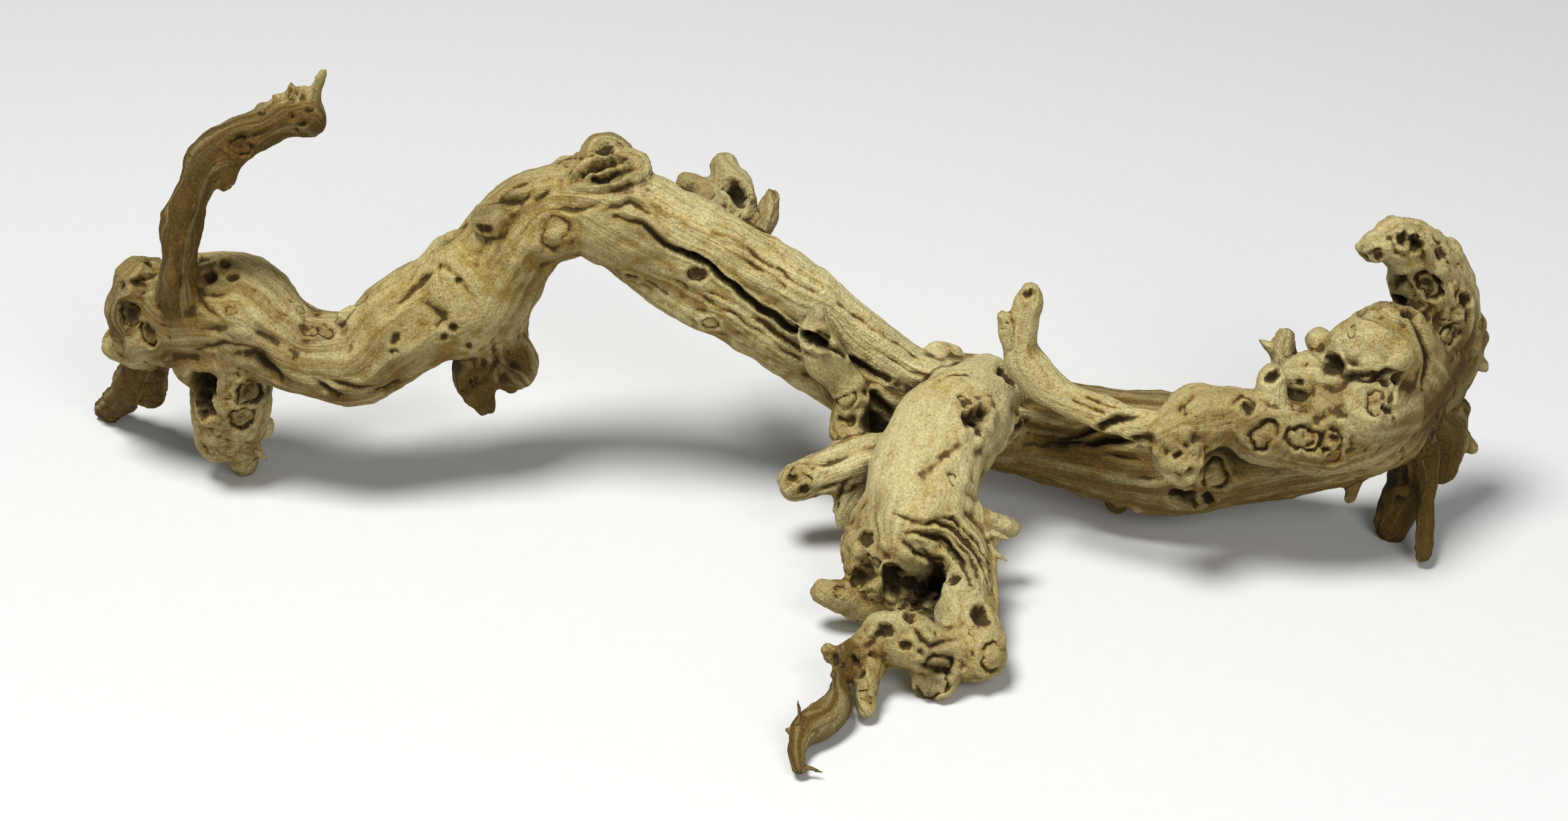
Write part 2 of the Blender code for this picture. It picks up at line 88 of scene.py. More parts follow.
# Stations of each limb: across, up, depth, radius.
limbs = {
    "trunk": [
        (-406, 72, 26, 21), (-392, 69, 20, 33), (-354, 65, 10, 35), (-332, 49, 0, 30),
        (-312, 38, -5, 28), (-292, 35, -8, 30), (-272, 36, -8, 30), (-252, 53, -5, 33),
        (-232, 65, 0, 33), (-208, 72, 5, 38), (-190, 92, 8, 35), (-170, 119, 10, 32.5),
        (-148, 130, 8, 31.5), (-126, 134, 4, 32), (-112, 130, 0, 34), (-92, 119, 2, 33)],
    "upperStrand": [
        (-112, 144, -4, 20), (-88, 136, -6, 18), (-72, 126, -8, 19), (-32, 104, -10, 20.5),
        (8, 79, -12, 21), (48, 49, -16, 17.5), (88, 22, -20, 17), (116, 14, -22, 22)],
    "lowerStrand": [
        (-112, 116, -2, 18), (-92, 99, -4, 18), (-72, 82, -8, 18), (-32, 59, -10, 15.5),
        (8, 33, -14, 15), (48, 6, -20, 13.5), (72, -10, -26, 14), (96, -22, -34, 16)],
    "middleOfTrunk": [
        (-92, 114, 2, 32), (-52, 92, 2, 31), (-12, 66, -1, 31), (28, 38, -6, 27.5),
        (68, 14, -13, 26), (112, 5, -16, 32), (128, 0, -16, 34)],
    "rightArm": [
        (128, 0, -16, 34), (146, -6, -18, 34), (168, -12, -22, 33), (208, -21, -30, 36),
        (248, -28, -40, 40), (288, -27, -46, 36), (328, -26, -52, 30), (364, -22, -58, 27),
        (396, -10, -64, 26)],
    "leftHead": [(-402, 46, 16, 17), (-422, 60, 30, 19), (-419, 82, 30, 19)],
    "leftHeadLow": [(-400, 56, 16, 24), (-420, 44, 28, 18), (-431, 44, 32, 13)],
    "leftLeg": [
        (-414, 44, 36, 13), (-421, 26, 50, 13), (-431, 10, 75, 11), (-440, 1, 91, 9)],
    "leftLegLobe": [(-412, 36, 44, 12), (-414, 18, 58, 10), (-414, 10, 64, 9)],
    "tallCane": [
        (-380, 40, 26, 14), (-388, 52, 14, 16), (-394, 64, 3, 16), (-397, 79, -8, 14), (-395, 100, -12, 12),
        (-392, 128, -14, 13), (-388, 139, -12, 11), (-384, 148, -11, 12), (-376, 165, -9, 15),
        (-360, 175, -6, 14), (-344, 182, -2, 13.5), (-328, 190, 2, 13.5), (-315, 192, 4, 13.5),
        (-312, 190, 5, 12)],
    "caneHook": [(-362, 166, -12, 10), (-364, 154, -14, 6.5), (-366, 147, -14, 3)],
    "caneSpike": [(-310, 196, 4, 6), (-304, 213, 3, 3.5), (-301, 222, 2, 2.5)],
    "caneHorn": [(-322, 197, 4, 6), (-323, 207, 4, 4), (-322, 212, 4, 2.6)],
    "caneThorn": [(-324, 202, 3, 4), (-333, 206, 2, 2.6)],
    "leftFoot": [
        (-358, 50, 6, 28), (-360, 28, 4, 26), (-361, 6, 8, 27), (-361, -14, 14, 21),
        (-354, -28, 18, 12), (-353, -35, 20, 9.5)],
    "leftFootToe": [(-364, -8, 8, 14), (-376, -20, 10, 9), (-372, -27, 12, 8)],
    "shoulder": [(-206, 84, 4, 36), (-196, 64, 8, 30), (-190, 46, 12, 22), (-178, 30, 12, 18)],
    "shoulderFoot": [(-194, 40, 8, 20), (-201, 18, 2, 14), (-195, 4, 0, 8)],
    "scarRim": [
        (-142, 147, -9, 4), (-128, 161, 4, 4), (-112, 166, 4, 5), (-97, 164, 2, 6),
        (-93, 155, -8, 5), (-108, 148, -16, 4), (-126, 145, -16, 4), (-142, 147, -9, 4)],
    "archKnob": [(-124, 158, 12, 12), (-118, 171, 18, 10), (-106, 168, 18, 7)],
    "backStub": [(-36, 112, 16, 18), (-33, 139, 36, 15), (-36, 151, 50, 12), (-39, 160, 60, 9)],
    "backStubLobe": [(-40, 138, 36, 12), (-54, 144, 46, 8), (-64, 148, 52, 7)],
    "splinter": [(-16, 118, 12, 10), (-10, 132, 16, 7), (-8, 141, 18, 3)],
    "frontSpur": [
        (48, -30, -52, 13), (43, -8, -46, 12), (44, 8, -44, 11), (36, 22, -44, 11),
        (28, 32, -46, 13), (22, 48, -48, 12), (22, 60, -49, 8), (23, 67, -49, 5.5)],
    "logStub": [(84, -30, -66, 18), (60, -32, -68, 17), (36, -39, -70, 16), (9, -47, -72, 13)],
    "logDrip": [(58, -46, -74, 14), (43, -60, -76, 11), (41, -70, -78, 7)],
    "frontLimb": [
        (132, 8, -28, 28), (112, -8, -62, 34), (98, -28, -88, 36), (90, -50, -112, 36),
        (84, -72, -134, 33), (80, -82, -144, 30)],
    "frontUnder": [(72, -72, -130, 26), (62, -90, -144, 25), (64, -106, -154, 23), (90, -116, -160, 20)],
    "underStub": [(66, -118, -158, 16), (52, -128, -166, 12), (38, -121, -168, 10), (25, -117, -168, 7)],
    "rightStub": [(108, -68, -128, 13), (132, -73, -126, 7.5), (147, -76, -122, 7)],
    "frontArm": [
        (92, -80, -140, 22), (110, -86, -150, 18), (119, -98, -164, 15), (121, -112, -178, 14),
        (118, -130, -198, 19), (124, -148, -214, 20), (126, -160, -226, 18)],
    "frontArmBack": [
        (118, -70, -128, 13), (130, -94, -150, 8), (132, -124, -186, 8), (131, -146, -210, 10)],
    "frontBar": [
        (124, -156, -220, 18), (104, -159, -230, 15), (80, -151, -228, 19), (64, -149, -226, 17),
        (52, -160, -232, 14)],
    "frontBurl": [(112, -162, -228, 15), (98, -175, -236, 15)],
    "barKnuckle": [(56, -152, -228, 13), (42, -160, -234, 9), (31, -158, -234, 5)],
    "barStub": [(56, -166, -236, 11), (54, -182, -254, 8), (54, -194, -264, 6)],
    "tipCane": [
        (44, -160, -236, 9), (38, -170, -246, 6.5), (36, -180, -258, 6.5), (35, -190, -268, 9),
        (25, -202, -280, 11), (13, -210, -292, 8), (9, -222, -305, 5), (10, -234, -320, 4.5)],
    "frontCane": [
        (258, -20, -112, 17), (240, -12, -112, 11), (224, -8, -108, 9.5), (200, 2, -98, 10),
        (176, 12, -88, 11), (162, 26, -80, 13), (155, 40, -78, 11), (157, 56, -76, 9),
        (160, 71, -74, 10)],
    "caneSplinter": [(154, 40, -78, 9), (146, 52, -78, 6), (143, 63, -78, 3)],
    "frontRight": [
        (256, -12, -112, 18), (268, -6, -106, 22), (280, -4, -104, 21), (292, -4, -104, 18),
        (314, -13, -106, 22), (336, -17, -104, 23), (360, -16, -98, 25), (384, -6, -88, 26)],
    "knuckle": [(258, -20, -114, 16), (258, -31, -119, 17), (260, -37, -121, 13)],
    "forkStub": [(318, 2, -102, 12), (319, 14, -101, 8), (319, 23, -100, 7)],
    "flatStub": [(332, 10, -70, 11), (328, 26, -64, 9.5), (326, 38, -60, 9), (327, 47, -58, 7)],
    "headCore": [(384, -10, -72, 28), (404, 18, -58, 29), (424, 44, -42, 24), (428, 68, -36, 26),
                  (420, 88, -38, 26), (412, 104, -44, 20), (398, 110, -54, 16), (387, 107, -60, 11)],
    "headLobeA": [(404, 24, -62, 26), (394, 38, -74, 25), (382, 43, -80, 24), (374, 42, -80, 20)],
    "headLobeD": [(410, 30, -62, 24), (402, 44, -70, 24), (394, 50, -74, 21)],
    "headLobeB": [(392, 0, -84, 26), (380, -1, -102, 25)],
    "headLobeC": [(372, 12, -82, 23), (350, 20, -82, 18), (336, 22, -80, 14)],
    "headBack": [(422, 12, -44, 19), (436, 40, -34, 21), (444, 58, -36, 13)],
    "headSpike": [(448, 36, -34, 7), (457, 28, -32, 3.5)],
    "headSide": [(418, 4, -44, 20), (432, -14, -34, 16), (430, -38, -40, 9)],
    "leg": [(404, -6, -60, 20), (410, -28, -56, 14), (408, -48, -56, 13), (400, -67, -58, 12),
            (396, -75, -59, 10.5)],
    "thinLeg": [(418, -24, -60, 9), (421, -48, -76, 6), (419, -72, -88, 5.5), (418, -95, -98, 5.5)],
    "twig": [(378, -30, -66, 8), (372, -50, -72, 4.6), (369, -57, -75, 4.4)],
}

# Round swellings: across, up, depth, radius.
knobs = [
    (-193, 126, -12, 11), (-382, 30, 0, 15), (-350, 58, -18, 13), (-340, 44, 24, 22), (-313, 210, 4, 4),
    (-376, -2, 14, 8), (-340, -10, 14, 7), (160, 78, -74, 6), (144, 52, -26, 10), (349, 46, -64, 8),
    (450, 47, -36, 9), (442, 1, -32, 7), (449, -24, -32, 5.5), (398, 121, -52, 6), (434, 105, -38, 8),
    (30, -157, -236, 4), (134, -148, -216, 5), (134, -86, -128, 6), (114, -62, -130, 8),
    (352, 2, -104, 11), (40, 26, -20, 12), (36, 72, 20, 9), (218, -60, -34, 7), (100, 36, -10, 9)]

# Thin or small wood that only the finest skin can hold.
twigs = {
    "caneSpike": [(-312, 197, 4, 5), (-306, 210, 3, 4.2), (-301.5, 220, 2, 3), (-299.5, 225, 2, 1.6)],
    "caneHorn": [(-323, 200, 4, 5), (-323, 208, 4, 3), (-322, 214.5, 4, 1.3)],
    "caneThorn": [(-325, 204, 3, 2), (-331, 206, 2.5, 1.3), (-338, 206.5, 2, 0.6)],
    "caneHook": [(-364, 156, -13, 5), (-365, 149, -14, 3.5), (-366, 144, -14, 1.6)],
    "footThorn": [(-346, -24, 14, 4), (-340, -30, 14, 2.2), (-337, -33, 14, 0.7)],
    "tipThorn": [(10, -207, -292, 2.6), (10.5, -200, -292, 1.8), (9, -190, -290, 1.1)],
    "tipSpike": [(9, -212, -294, 3.4), (4, -210, -294, 2.2), (1, -208, -294, 1.2)],
    "tipHook": [(11, -233, -319, 3), (18, -234, -320, 2), (25, -237, -321, 1)],
    "armThorn": [(134, -90, -152, 3), (141, -95, -154, 1.8), (146, -99, -155, 0.7)],
    "armChip": [(136, -80, -146, 3), (143, -83, -146, 2), (148, -85, -146, 1)],
    "deadFinger": [(150, 0, -50, 3.5), (162, -3, -54, 3), (174, -6, -57, 3), (183, -8, -58, 1.6)],
    "deadStrip": [(168, 12, -50, 3), (196, 12, -62, 2.6), (226, 10, -70, 2.2), (252, 9, -76, 1.6)],
    "headTip": [(380, 106, -60, 7), (376, 107, -61, 4), (374, 108, -61, 2)],
    "crownLip": [(414, 112, -66, 2.5), (420, 106, -66, 3), (422, 98, -64, 2.5)],
    "sideThorn": [(444, -16, -34, 4), (450, -23, -33, 3), (454, -25, -33, 1.4)],
    "legProng": [(402, -70, -60, 4), (404, -80, -62, 2.2), (404, -84, -63, 1.4)],
    "legChip": [(410, -58, -58, 4), (411, -66, -59, 2), (411, -70, -59, 1)],
    "flatStubTip": [(322, 38, -60, 5), (315, 43, -60, 3.4), (311, 46, -60, 1.6)],
    "backChip": [(112, 38, -8, 5), (106, 42, -2, 3), (102, 44, 2, 1.5)],
    "shoulderLip": [(-288, 62, -14, 4), (-282, 66, -12, 3.2), (-275, 66, -12, 2.6)],
}

# Round nodules: across, up, radius, how far each stands out.
nodules = [
    (-432, 92, 7, 3), (-410, 97, 6, 3), (-434, 44, 8, 4), (-400, 88, 5, 2.5), (-382, 22, 5, 3),
    (42, -76, 5, 3), (44, -86, 5, 3), (60, -96, 6, 4), (66, -88, 5, 3), (80, -94, 6, 3), (70, -110, 6, 4),
    (60, -116, 6, 4), (80, -120, 5, 4), (92, -118, 5, 3), (50, -92, 5, 3), (36, -160, 5, 4),
    (44, -153, 5, 4), (52, -158, 5, 4), (56, -166, 5, 3.5), (44, -172, 5, 4), (31, -162, 4, 3),
    (53, -186, 5, 3), (58, -180, 4, 2.5), (244, -16, 6, 4), (252, -21, 4.5, 4), (262, -16, 5, 4),
    (245, -27, 5, 4), (253, -35, 5, 4), (261, -37, 4.5, 3.5), (270, -34, 4.5, 4), (264, -44, 5, 3.5),
    (252, -43, 4.5, 3.5), (268, -25, 4, 3.5), (274, -42, 4, 3), (-371, 93, 3.5, 3), (348, 1, 6, 3.5),
    (342, -6, 5, 3), (303, 4, 5, 3), (410, -40, 6, 2.5), (402, -52, 5, 2.5), (412, -62, 4, 2),
    (146, -76, 5, 2.5), (138, -70, 4, 2), (-186, 22, 6, 3), (-178, 14, 5, 3), (-204, 10, 5, 3),
    (-196, 2, 5, 3), (-60, 150, 4, 2.5), (28, -156, 4, 3.5), (36, -150, 4.5, 4), (46, -152, 4, 3.5),
    (50, -160, 4, 3), (40, -168, 4, 3), (30, -166, 3.5, 3), (402, 34, 12, 4), (384, -6, 9, 3),
    (372, 2, 8, 3), (396, 12, 7, 3), (60, -92, 6, 3), (66, -104, 6, 3), (58, -118, 5, 3),
    (133, 6, 3.5, 3.5), (136, -2, 3.5, 3.5), (134, -12, 4, 3.5), (127, -20, 4, 3.5), (117, -17, 4, 3),
    (113, -8, 3.5, 3), (125, 3, 3, 3), (122, -10, 2.6, 3.5), (-127, 151, 4, 4), (-112, 154, 5, 5),
    (-100, 160, 4, 4), (-96, 152, 4, 3), (-370, 100, 3, 2.5), (-384, 93, 4, 2), (-120, 166, 4, 3),
    (-342, 199, 6, 2), (-405, 128, 5, 2), (-380, -4, 9, 4), (-374, -18, 8, 4), (-331, -8, 7, 3),
    (-354, -38, 8, 2), (-200, 112, 8, 3), (-134, 152, 6, 4), (-110, 162, 6, 3.5), (-98, 160, 5, 3),
    (-150, 116, 8, 3), (41, 6, 6, 3), (23, 62, 4, 2), (50, -2, 5, 2), (12, -44, 6, 2), (6, -52, 5, 2),
    (120, -62, 6, 3), (140, -94, 4, 2), (142, -148, 5, 2.5), (138, -160, 7, 3), (73, -144, 5, 3),
    (57, -166, 6, 3), (31, -158, 5, 2), (46, -160, 6, 3), (54, -174, 6, 3), (20, -193, 4, 2),
    (218, -62, 5, 2.5), (230, -65, 4, 2), (160, 78, 5, 2), (137, 52, 4, 2), (256, -30, 6, 3),
    (262, -24, 6, 3), (250, -34, 6, 3), (264, -34, 5, 3), (246, -24, 5, 3), (334, -14, 5, 3),
    (344, -22, 5, 3), (356, -24, 5, 3), (364, -18, 5, 3), (350, 2, 7, 4), (392, 128, 5, 2),
    (402, 92, 6, 3), (428, 92, 6, 3), (414, 60, 6, 3), (432, 50, 7, 4), (440, 58, 5, 3), (452, 40, 6, 3),
    (398, 60, 5, 3), (388, 2, 5, 3), (396, 16, 5, 3), (384, 62, 5, 3), (372, 38, 6, 3), (376, 10, 5, 3),
    (448, 0, 5, 2), (398, -52, 5, 2), (412, -44, 4, 2), (-186, 10, 7, 3), (-172, 34, 7, 3),
    (-208, 24, 6, 3)]

# Knots: across, up, radius, depth, rim, plug left standing in the middle (0 none, 1 full).
knotHoles = [
    (88, -118, 15, 16, 0, 0), (72, -114, 10, 10, 0, 0), (104, -112, 8, 10, 0, 0), (52, -108, 7, 6, 1, 0),
    (-380, 16, 11, 17, 1.5, 0), (-379, 3, 8, 11, 0.5, 0), (-348, 11, 9, 6, 2.2, 0.3),
    (-354, -6, 9, 5, 2, 0.5), (-378, 100, 5.5, 6, 1.2, 0), (-365, 97, 6, 5, 1.2, 0),
    (-375, 87, 5, 5, 0.8, 0), (-360, 87, 4, 4, 0.6, 0), (-422, 84, 5, 5, 1, 0), (-414, 88, 4, 4, 0.6, 0),
    (-427, 62, 9, 7, 0, 0.2), (-416, 50, 8, 6, 0, 0.2), (-411, 70, 6, 5, 0, 0), (-117, 171, 6, 7, 0.5, 0),
    (-30, 141, 8, 9, 1, 0), (123, -5, 8, 9, 2, 0), (118, 6, 5, 3, 1.4, 0.5), (127, -12, 5, 7, 0, 0),
    (130, 0, 4, 6, 0, 0), (98, -174, 13, 6, 2, 0.35), (104, -170, 5, 4, 0.5, 0), (-380, -4, 4, 3, 1, 0),
    (-354, 171, 7, 6, 2.5, 0.3), (-310, 196, 3, 3, 0.5, 0), (-321, 192, 3, 3, 0.5, 0),
    (-314, 187, 3, 3, 0.5, 0), (-318, 183, 2.5, 2, 0.5, 0), (-342, 195, 3, 2, 0.5, 0),
    (-310, 52, 5, 3, 1.2, 0.7), (-300, 52, 5, 3, 1.2, 0.7), (-254, 46, 4, 3, 1, 0),
    (-255, 39, 3, 2, 0.6, 0), (-226, 56, 3, 2, 0.6, 0), (-222, 48, 3, 2, 0.8, 0),
    (-216, 54, 3.5, 3, 0.8, 0), (-206, 42, 3, 2, 0.6, 0), (-196, 118, 5, 4, 1, 0),
    (-150, 116, 10, 2, 0.6, 0.9), (-57, 89, 5.5, 5, 1.6, 0.3), (-32, 146, 8, 6, 1.5, 0),
    (20, 46, 8, 9, 2.5, 0), (42, 6, 6, 3, 1.5, 0.8), (44, -7, 4, 3, 1, 0), (38, -6, 3, 3, 1, 0),
    (9, -47, 9, 3, 1, 0.6), (5, -44, 3, 3, 0.5, 0), (13, -51, 3, 3, 0.5, 0), (84, -122, 8, 7, 1.5, 0.3),
    (96, -116, 6, 6, 1, 0), (66, -144, 6, 6, 1, 0), (82, -134, 5, 6, 1, 0), (128, -134, 7, 7, 1.2, 0),
    (137, -162, 9, 4, 2, 0.7), (80, -154, 4, 4, 0.5, 0), (90, -158, 3, 3, 0.5, 0), (46, -163, 3, 5, 0, 0),
    (38, -166, 2.5, 4, 0, 0), (50, -172, 3, 4, 0, 0), (54, -188, 4, 3, 1, 0.3), (149, -16, 7, 9, 1.5, 0),
    (153, -8, 4, 6, 1, 0), (282, -42, 10, 4, 2.5, 0.85), (261, -56, 8, 8, 1, 0), (277, -58, 6, 7, 1, 0),
    (268, -62, 4, 4, 1, 0), (146, 22, 8, 7, 1.5, 0), (160, 76, 4, 3, 1, 0), (257, -29, 3, 4, 0, 0),
    (263, -23, 2.5, 3, 0, 0), (304, 2, 5, 5, 1, 0), (313, -17, 9, 5, 2.2, 0.9),
    (340, -18, 10, 5, 2.5, 0.7), (336, -12, 3, 3, 0.5, 0), (344, -22, 3, 4, 0.5, 0),
    (358, -22, 9, 5, 2.5, 0.7), (360, -18, 3, 4, 0.5, 0), (354, -26, 3, 4, 0.5, 0),
    (320, 22, 5, 5, 1.5, 0), (388, 101, 4, 4, 1, 0), (429, 102, 4, 4, 1, 0), (421, 80, 8, 9, 2, 0.4),
    (405, 112, 5, 7, 2.2, 0), (412, 109, 5, 7, 1.6, 0), (402, 72, 5, 5, 1.5, 0), (408, 64, 5, 5, 1.5, 0),
    (420, 60, 5, 4, 1.5, 0), (445, 73, 5, 5, 1.5, 0), (436, 50, 7, 5, 1.5, 0.5), (386, 6, 7, 6, 1.5, 0.6),
    (392, 18, 4, 4, 1, 0), (398, 20, 4, 5, 1, 0), (394, 0, 4, 4, 1, 0), (360, 30, 7, 7, 2, 0),
    (371, 52, 3.5, 2, 1, 0.5), (448, -2, 4, 3, 1, 0), (406, -46, 3, 3, 0.5, 0), (402, -58, 3, 3, 0.5, 0),
    (-182, 20, 5, 4, 1, 0), (-176, 30, 4, 3, 1, 0), (-200, 20, 5, 4, 1, 0.4), (-196, 30, 3, 3, 0.5, 0),
    (56, -100, 6, 5, 1, 0.3), (70, -108, 5, 5, 1, 0.3), (54, -84, 5, 4, 1, 0.2), (110, -110, 5, 5, 1, 0),
    (36, -118, 4, 3, 1, 0.4), (43, -72, 4, 3, 1, 0)]

# Cracks and grooves: half width, depth, route of across and up. A depth below 0 is a ridge.
checks = [
    (2.0, 4, [(406, 66), (414, 52), (420, 34), (417, 14)]),
    (2.4, 5, [(362, 20), (370, 21), (382, 20), (394, 26), (402, 24)]),
    (2.2, -3.5, [(-142, 148), (-134, 158), (-120, 165), (-106, 167), (-94, 163)]),
    (2.2, -3, [(-140, 145), (-124, 146), (-108, 149), (-96, 154)]),
    (3.2, 8, [(-139, 150), (-130, 156), (-118, 160), (-108, 162)]),
    (2.4, 5, [(-134, 149), (-122, 150), (-110, 153), (-100, 158)]),
    (1.6, 6, [(84, -74), (100, -72), (114, -80), (126, -94), (133, -112)]),
    (1.6, 6, [(80, -80), (94, -80), (106, -86), (116, -98), (122, -114)]),
    (1.5, 5, [(96, -68), (110, -72), (124, -84), (134, -100)]),
    (1.8, -2.5, [(90, -73), (102, -77), (112, -86), (120, -99)]),
    (1.6, -2, [(98, -72), (112, -79), (124, -92), (130, -106)]),
    (2.0, 5, [(76, -84), (84, -92), (94, -97), (104, -98)]),
    (1.8, 8, [(-110, 127), (-92, 121), (-76, 109), (-64, 102), (-50, 97), (-40, 86), (-16, 68), (8, 52),
              (37, 38), (56, 26), (68, 20)]),
    (3.0, 6, [(50, 15), (58, 9), (64, 3), (72, -4)]),
    (2.0, 3, [(-120, 131), (-112, 132), (-100, 136), (-90, 130)]),
    (3.0, 5, [(-306, 20), (-296, 12), (-286, 9)]), (3.0, 5, [(-270, 11), (-260, 14), (-250, 19)]),
    (2.0, 3, [(-306, 24), (-294, 18), (-276, 15), (-260, 19)]),
    (4.0, 7, [(-356, 36), (-346, 36), (-336, 29), (-326, 19)]),
    (3.0, 2, [(-380, 52), (-352, 56), (-336, 48), (-320, 36)]),
    (2.0, 2, [(-384, 40), (-366, 44), (-350, 42), (-338, 36)]),
    (2.0, 1.6, [(-401, 82), (-404, 68), (-400, 56)]), (2.0, 1.6, [(-384, 80), (-376, 66), (-364, 58)]),
    (2.0, 2, [(-384, 79), (-378, 76), (-370, 75), (-360, 79)]),
    (1.6, 2, [(-389, 150), (-387, 140), (-386, 128)]), (1.6, 2, [(-364, 178), (-354, 181), (-345, 177)]),
    (1.4, 1.5, [(-352, 176), (-338, 182), (-326, 186)]),
    (1.4, 1.5, [(-396, 118), (-394, 90), (-395, 66)]),
    (3.0, 4, [(-196, 134), (-184, 138), (-172, 137), (-164, 143)]), (2.4, 3, [(-164, 138), (-152, 144)]),
    (2.0, 2, [(-152, 131), (-132, 131), (-118, 136), (-100, 130)]),
    (3.0, 3, [(-236, 70), (-226, 64), (-218, 56)]), (2.4, 2, [(-230, 98), (-214, 88), (-204, 74)]),
    (2.0, 1.6, [(-262, 60), (-244, 78), (-226, 92)]), (2.0, 1.4, [(-250, 70), (-238, 84), (-220, 100)]),
    (3.5, 2, [(116, -20), (104, -30), (88, -44)]), (2.0, 2, [(126, 22), (108, 24), (96, 16)]),
    (2.6, 7, [(160, -16), (180, -19), (192, -17), (214, -8), (236, -2)]),
    (2.8, 9, [(158, -22), (180, -23), (196, -22), (240, -18)]), (2.0, 3, [(204, -26), (236, -34)]),
    (2.4, 4, [(84, -140), (90, -150), (96, -153), (111, -149)]),
    (2.0, 3, [(66, -140), (60, -148), (52, -156)]), (2.0, 3, [(86, -166), (92, -168), (104, -170)]),
    (1.8, 3, [(88, -72), (100, -78), (112, -84), (122, -94), (128, -112)]),
    (1.8, 3, [(84, -76), (98, -84), (108, -92), (116, -106)]),
    (1.8, 3, [(80, -82), (92, -92), (100, -102)]),
    (1.8, 2, [(96, -70), (112, -76), (126, -88), (132, -104)]),
    (1.6, 2.5, [(70, -66), (84, -72), (94, -72)]), (2.0, 3, [(-20, 60), (4, 44), (20, 34)]),
    (1.6, 1.5, [(-60, 124), (-30, 110), (0, 90), (30, 68)]),
    (1.6, 1.2, [(-44, 108), (-20, 96), (10, 76)]), (1.6, 1.5, [(30, 74), (60, 52), (90, 34)]),
    (1.6, 1.2, [(50, 44), (80, 28), (104, 18)]), (1.6, 1.5, [(-70, 84), (-40, 66), (-10, 48), (14, 30)]),
    (2.0, 3, [(260, 8), (258, -2)]), (1.4, 1.5, [(180, 10), (200, 2), (222, -7)]),
    (1.4, 1.5, [(190, 12), (212, 3), (232, -4)]), (2.0, 2.5, [(268, 12), (262, 4), (262, -6)]),
    (1.8, 2, [(290, 4), (300, 10), (308, 4)]), (2.0, 3, [(402, 118), (396, 112), (400, 104), (410, 102)]),
    (2.0, 3, [(424, 116), (432, 104), (436, 92)]), (2.4, 4, [(386, 74), (396, 80), (406, 88)]),
    (2.0, 3, [(440, 80), (446, 66), (446, 50)]), (2.0, 3, [(364, 14), (372, 22), (384, 24), (398, 10)]),
    (2.0, 2.5, [(400, -10), (396, 4), (400, 20)]), (1.6, 1.5, [(404, -20), (404, -44), (398, -66)]),
    (1.6, 1.5, [(412, -24), (410, -50), (404, -62)]), (1.8, 2, [(-186, 140), (-176, 146), (-160, 152)]),
    (2.0, 2, [(-190, 46), (-186, 30), (-186, 16)]), (1.6, 2, [(34, -66), (38, -50), (46, -40)]),
    (1.6, 1.5, [(14, -40), (30, -34), (46, -28)]), (1.6, 1.5, [(16, -54), (34, -48), (50, -42)])]

twigSides = 10
limbSides = 14

skinSettings = {
    "coarse": 2.0,          # mm, edge of the cubes that first fuse the limbs
    "fine": 1.4,            # mm, the same once the twigs are on
    "quickFine": 2.0,
    "smoothRounds": 2,
    "regain": 0.6,          # mm that smoothing takes off, given back
    "fineRegain": 0.2,
    "forkRounds": 6,
    "forkShare": 0.9,
    "noduleLean": 0.2,
    "settle": 0.25,         # last smoothing, as a share
    "slack": 6.0,           # mm, how far points may have moved since they were sorted
    "triangles": 194000,
    "margin": 0.4,          # mm kept inside the solid's box
    "lowestMargin": 0.05,
    "swellHeight": 2.4,
    "swellSpread": 28.0,
    "swellSeed": 3.0,
}

knotShape = {
    "lean": 0.6,            # how far a hole leans from the surface's direction to the line of sight
    "reach": 2.6,           # radii that a knot changes
    "oval": 0.3,
    "waver": 0.34,          # unevenness of the outline, as a share of the radius
    "fineWaver": 0.12,
    "rimPlace": 1.32,
    "rimWidth": 0.27,
    "groovePlace": 0.85,    # of the groove round an old branch left in the middle
    "grooveWidth": 0.11,
    "eye": 0.35,
    "eyeWidth": 0.22,
    "dome": 0.9,
    "domeWidth": 0.45,
    "roughness": 3.4,       # mm, size of the unevenness on its floor
}

crackShape = {
    "stepLength": 3.5,      # mm between the spots of a route
    "wander": 2.0,
    "longestGap": 14.0,     # mm, past which the route has left the surface
    "lip": 0.28,
    "lipPlace": 2.0,        # in half widths
    "lipWidth": 0.8,
}

# Sizes of the relief in mm, across and along where there are two.
grainShape = {
    "flute": (8.0, 110.0),
    "strand": (3.6, 52.0),
    "wander": 30.0,
    "patch": 46.0,
    "lump": 11.0,
    "crease": 13.0,
    "creaseBend": 9.0,
    "twist": 1.6,           # radians in a metre of limb
    "changeOver": 5.0,
    "reach": 25.0,
    "fluteGroove": 0.09,    # narrowness of the grooves between flutes, strands and lumps
    "strandGroove": 0.13,
    "creaseGroove": 0.1,
    "flowSize": 1.15,       # the part of a knot that the grain flows round, in radii
    "flowReach": 4.0,       # in those sizes
    "flowFade": 1.25,
}

markSettings = {
    "blendRounds": 6,
    "stainRounds": 40,
    "nearRounds": 5,
    "farRounds": 30,
    "fineHollow": 0.25,     # mm of hollow that counts as 1
    "wideHollow": 1.1,
    "rustSpread": 1.15,
    "crackSpread": 0.8,
    "shadeRays": 14,
    "shadeReach": 60.0,
    "shadeSeed": 5,
    "shadeLift": 0.6,
    "shadeLean": 1.05,      # how far the rays lean to the surface's direction
}

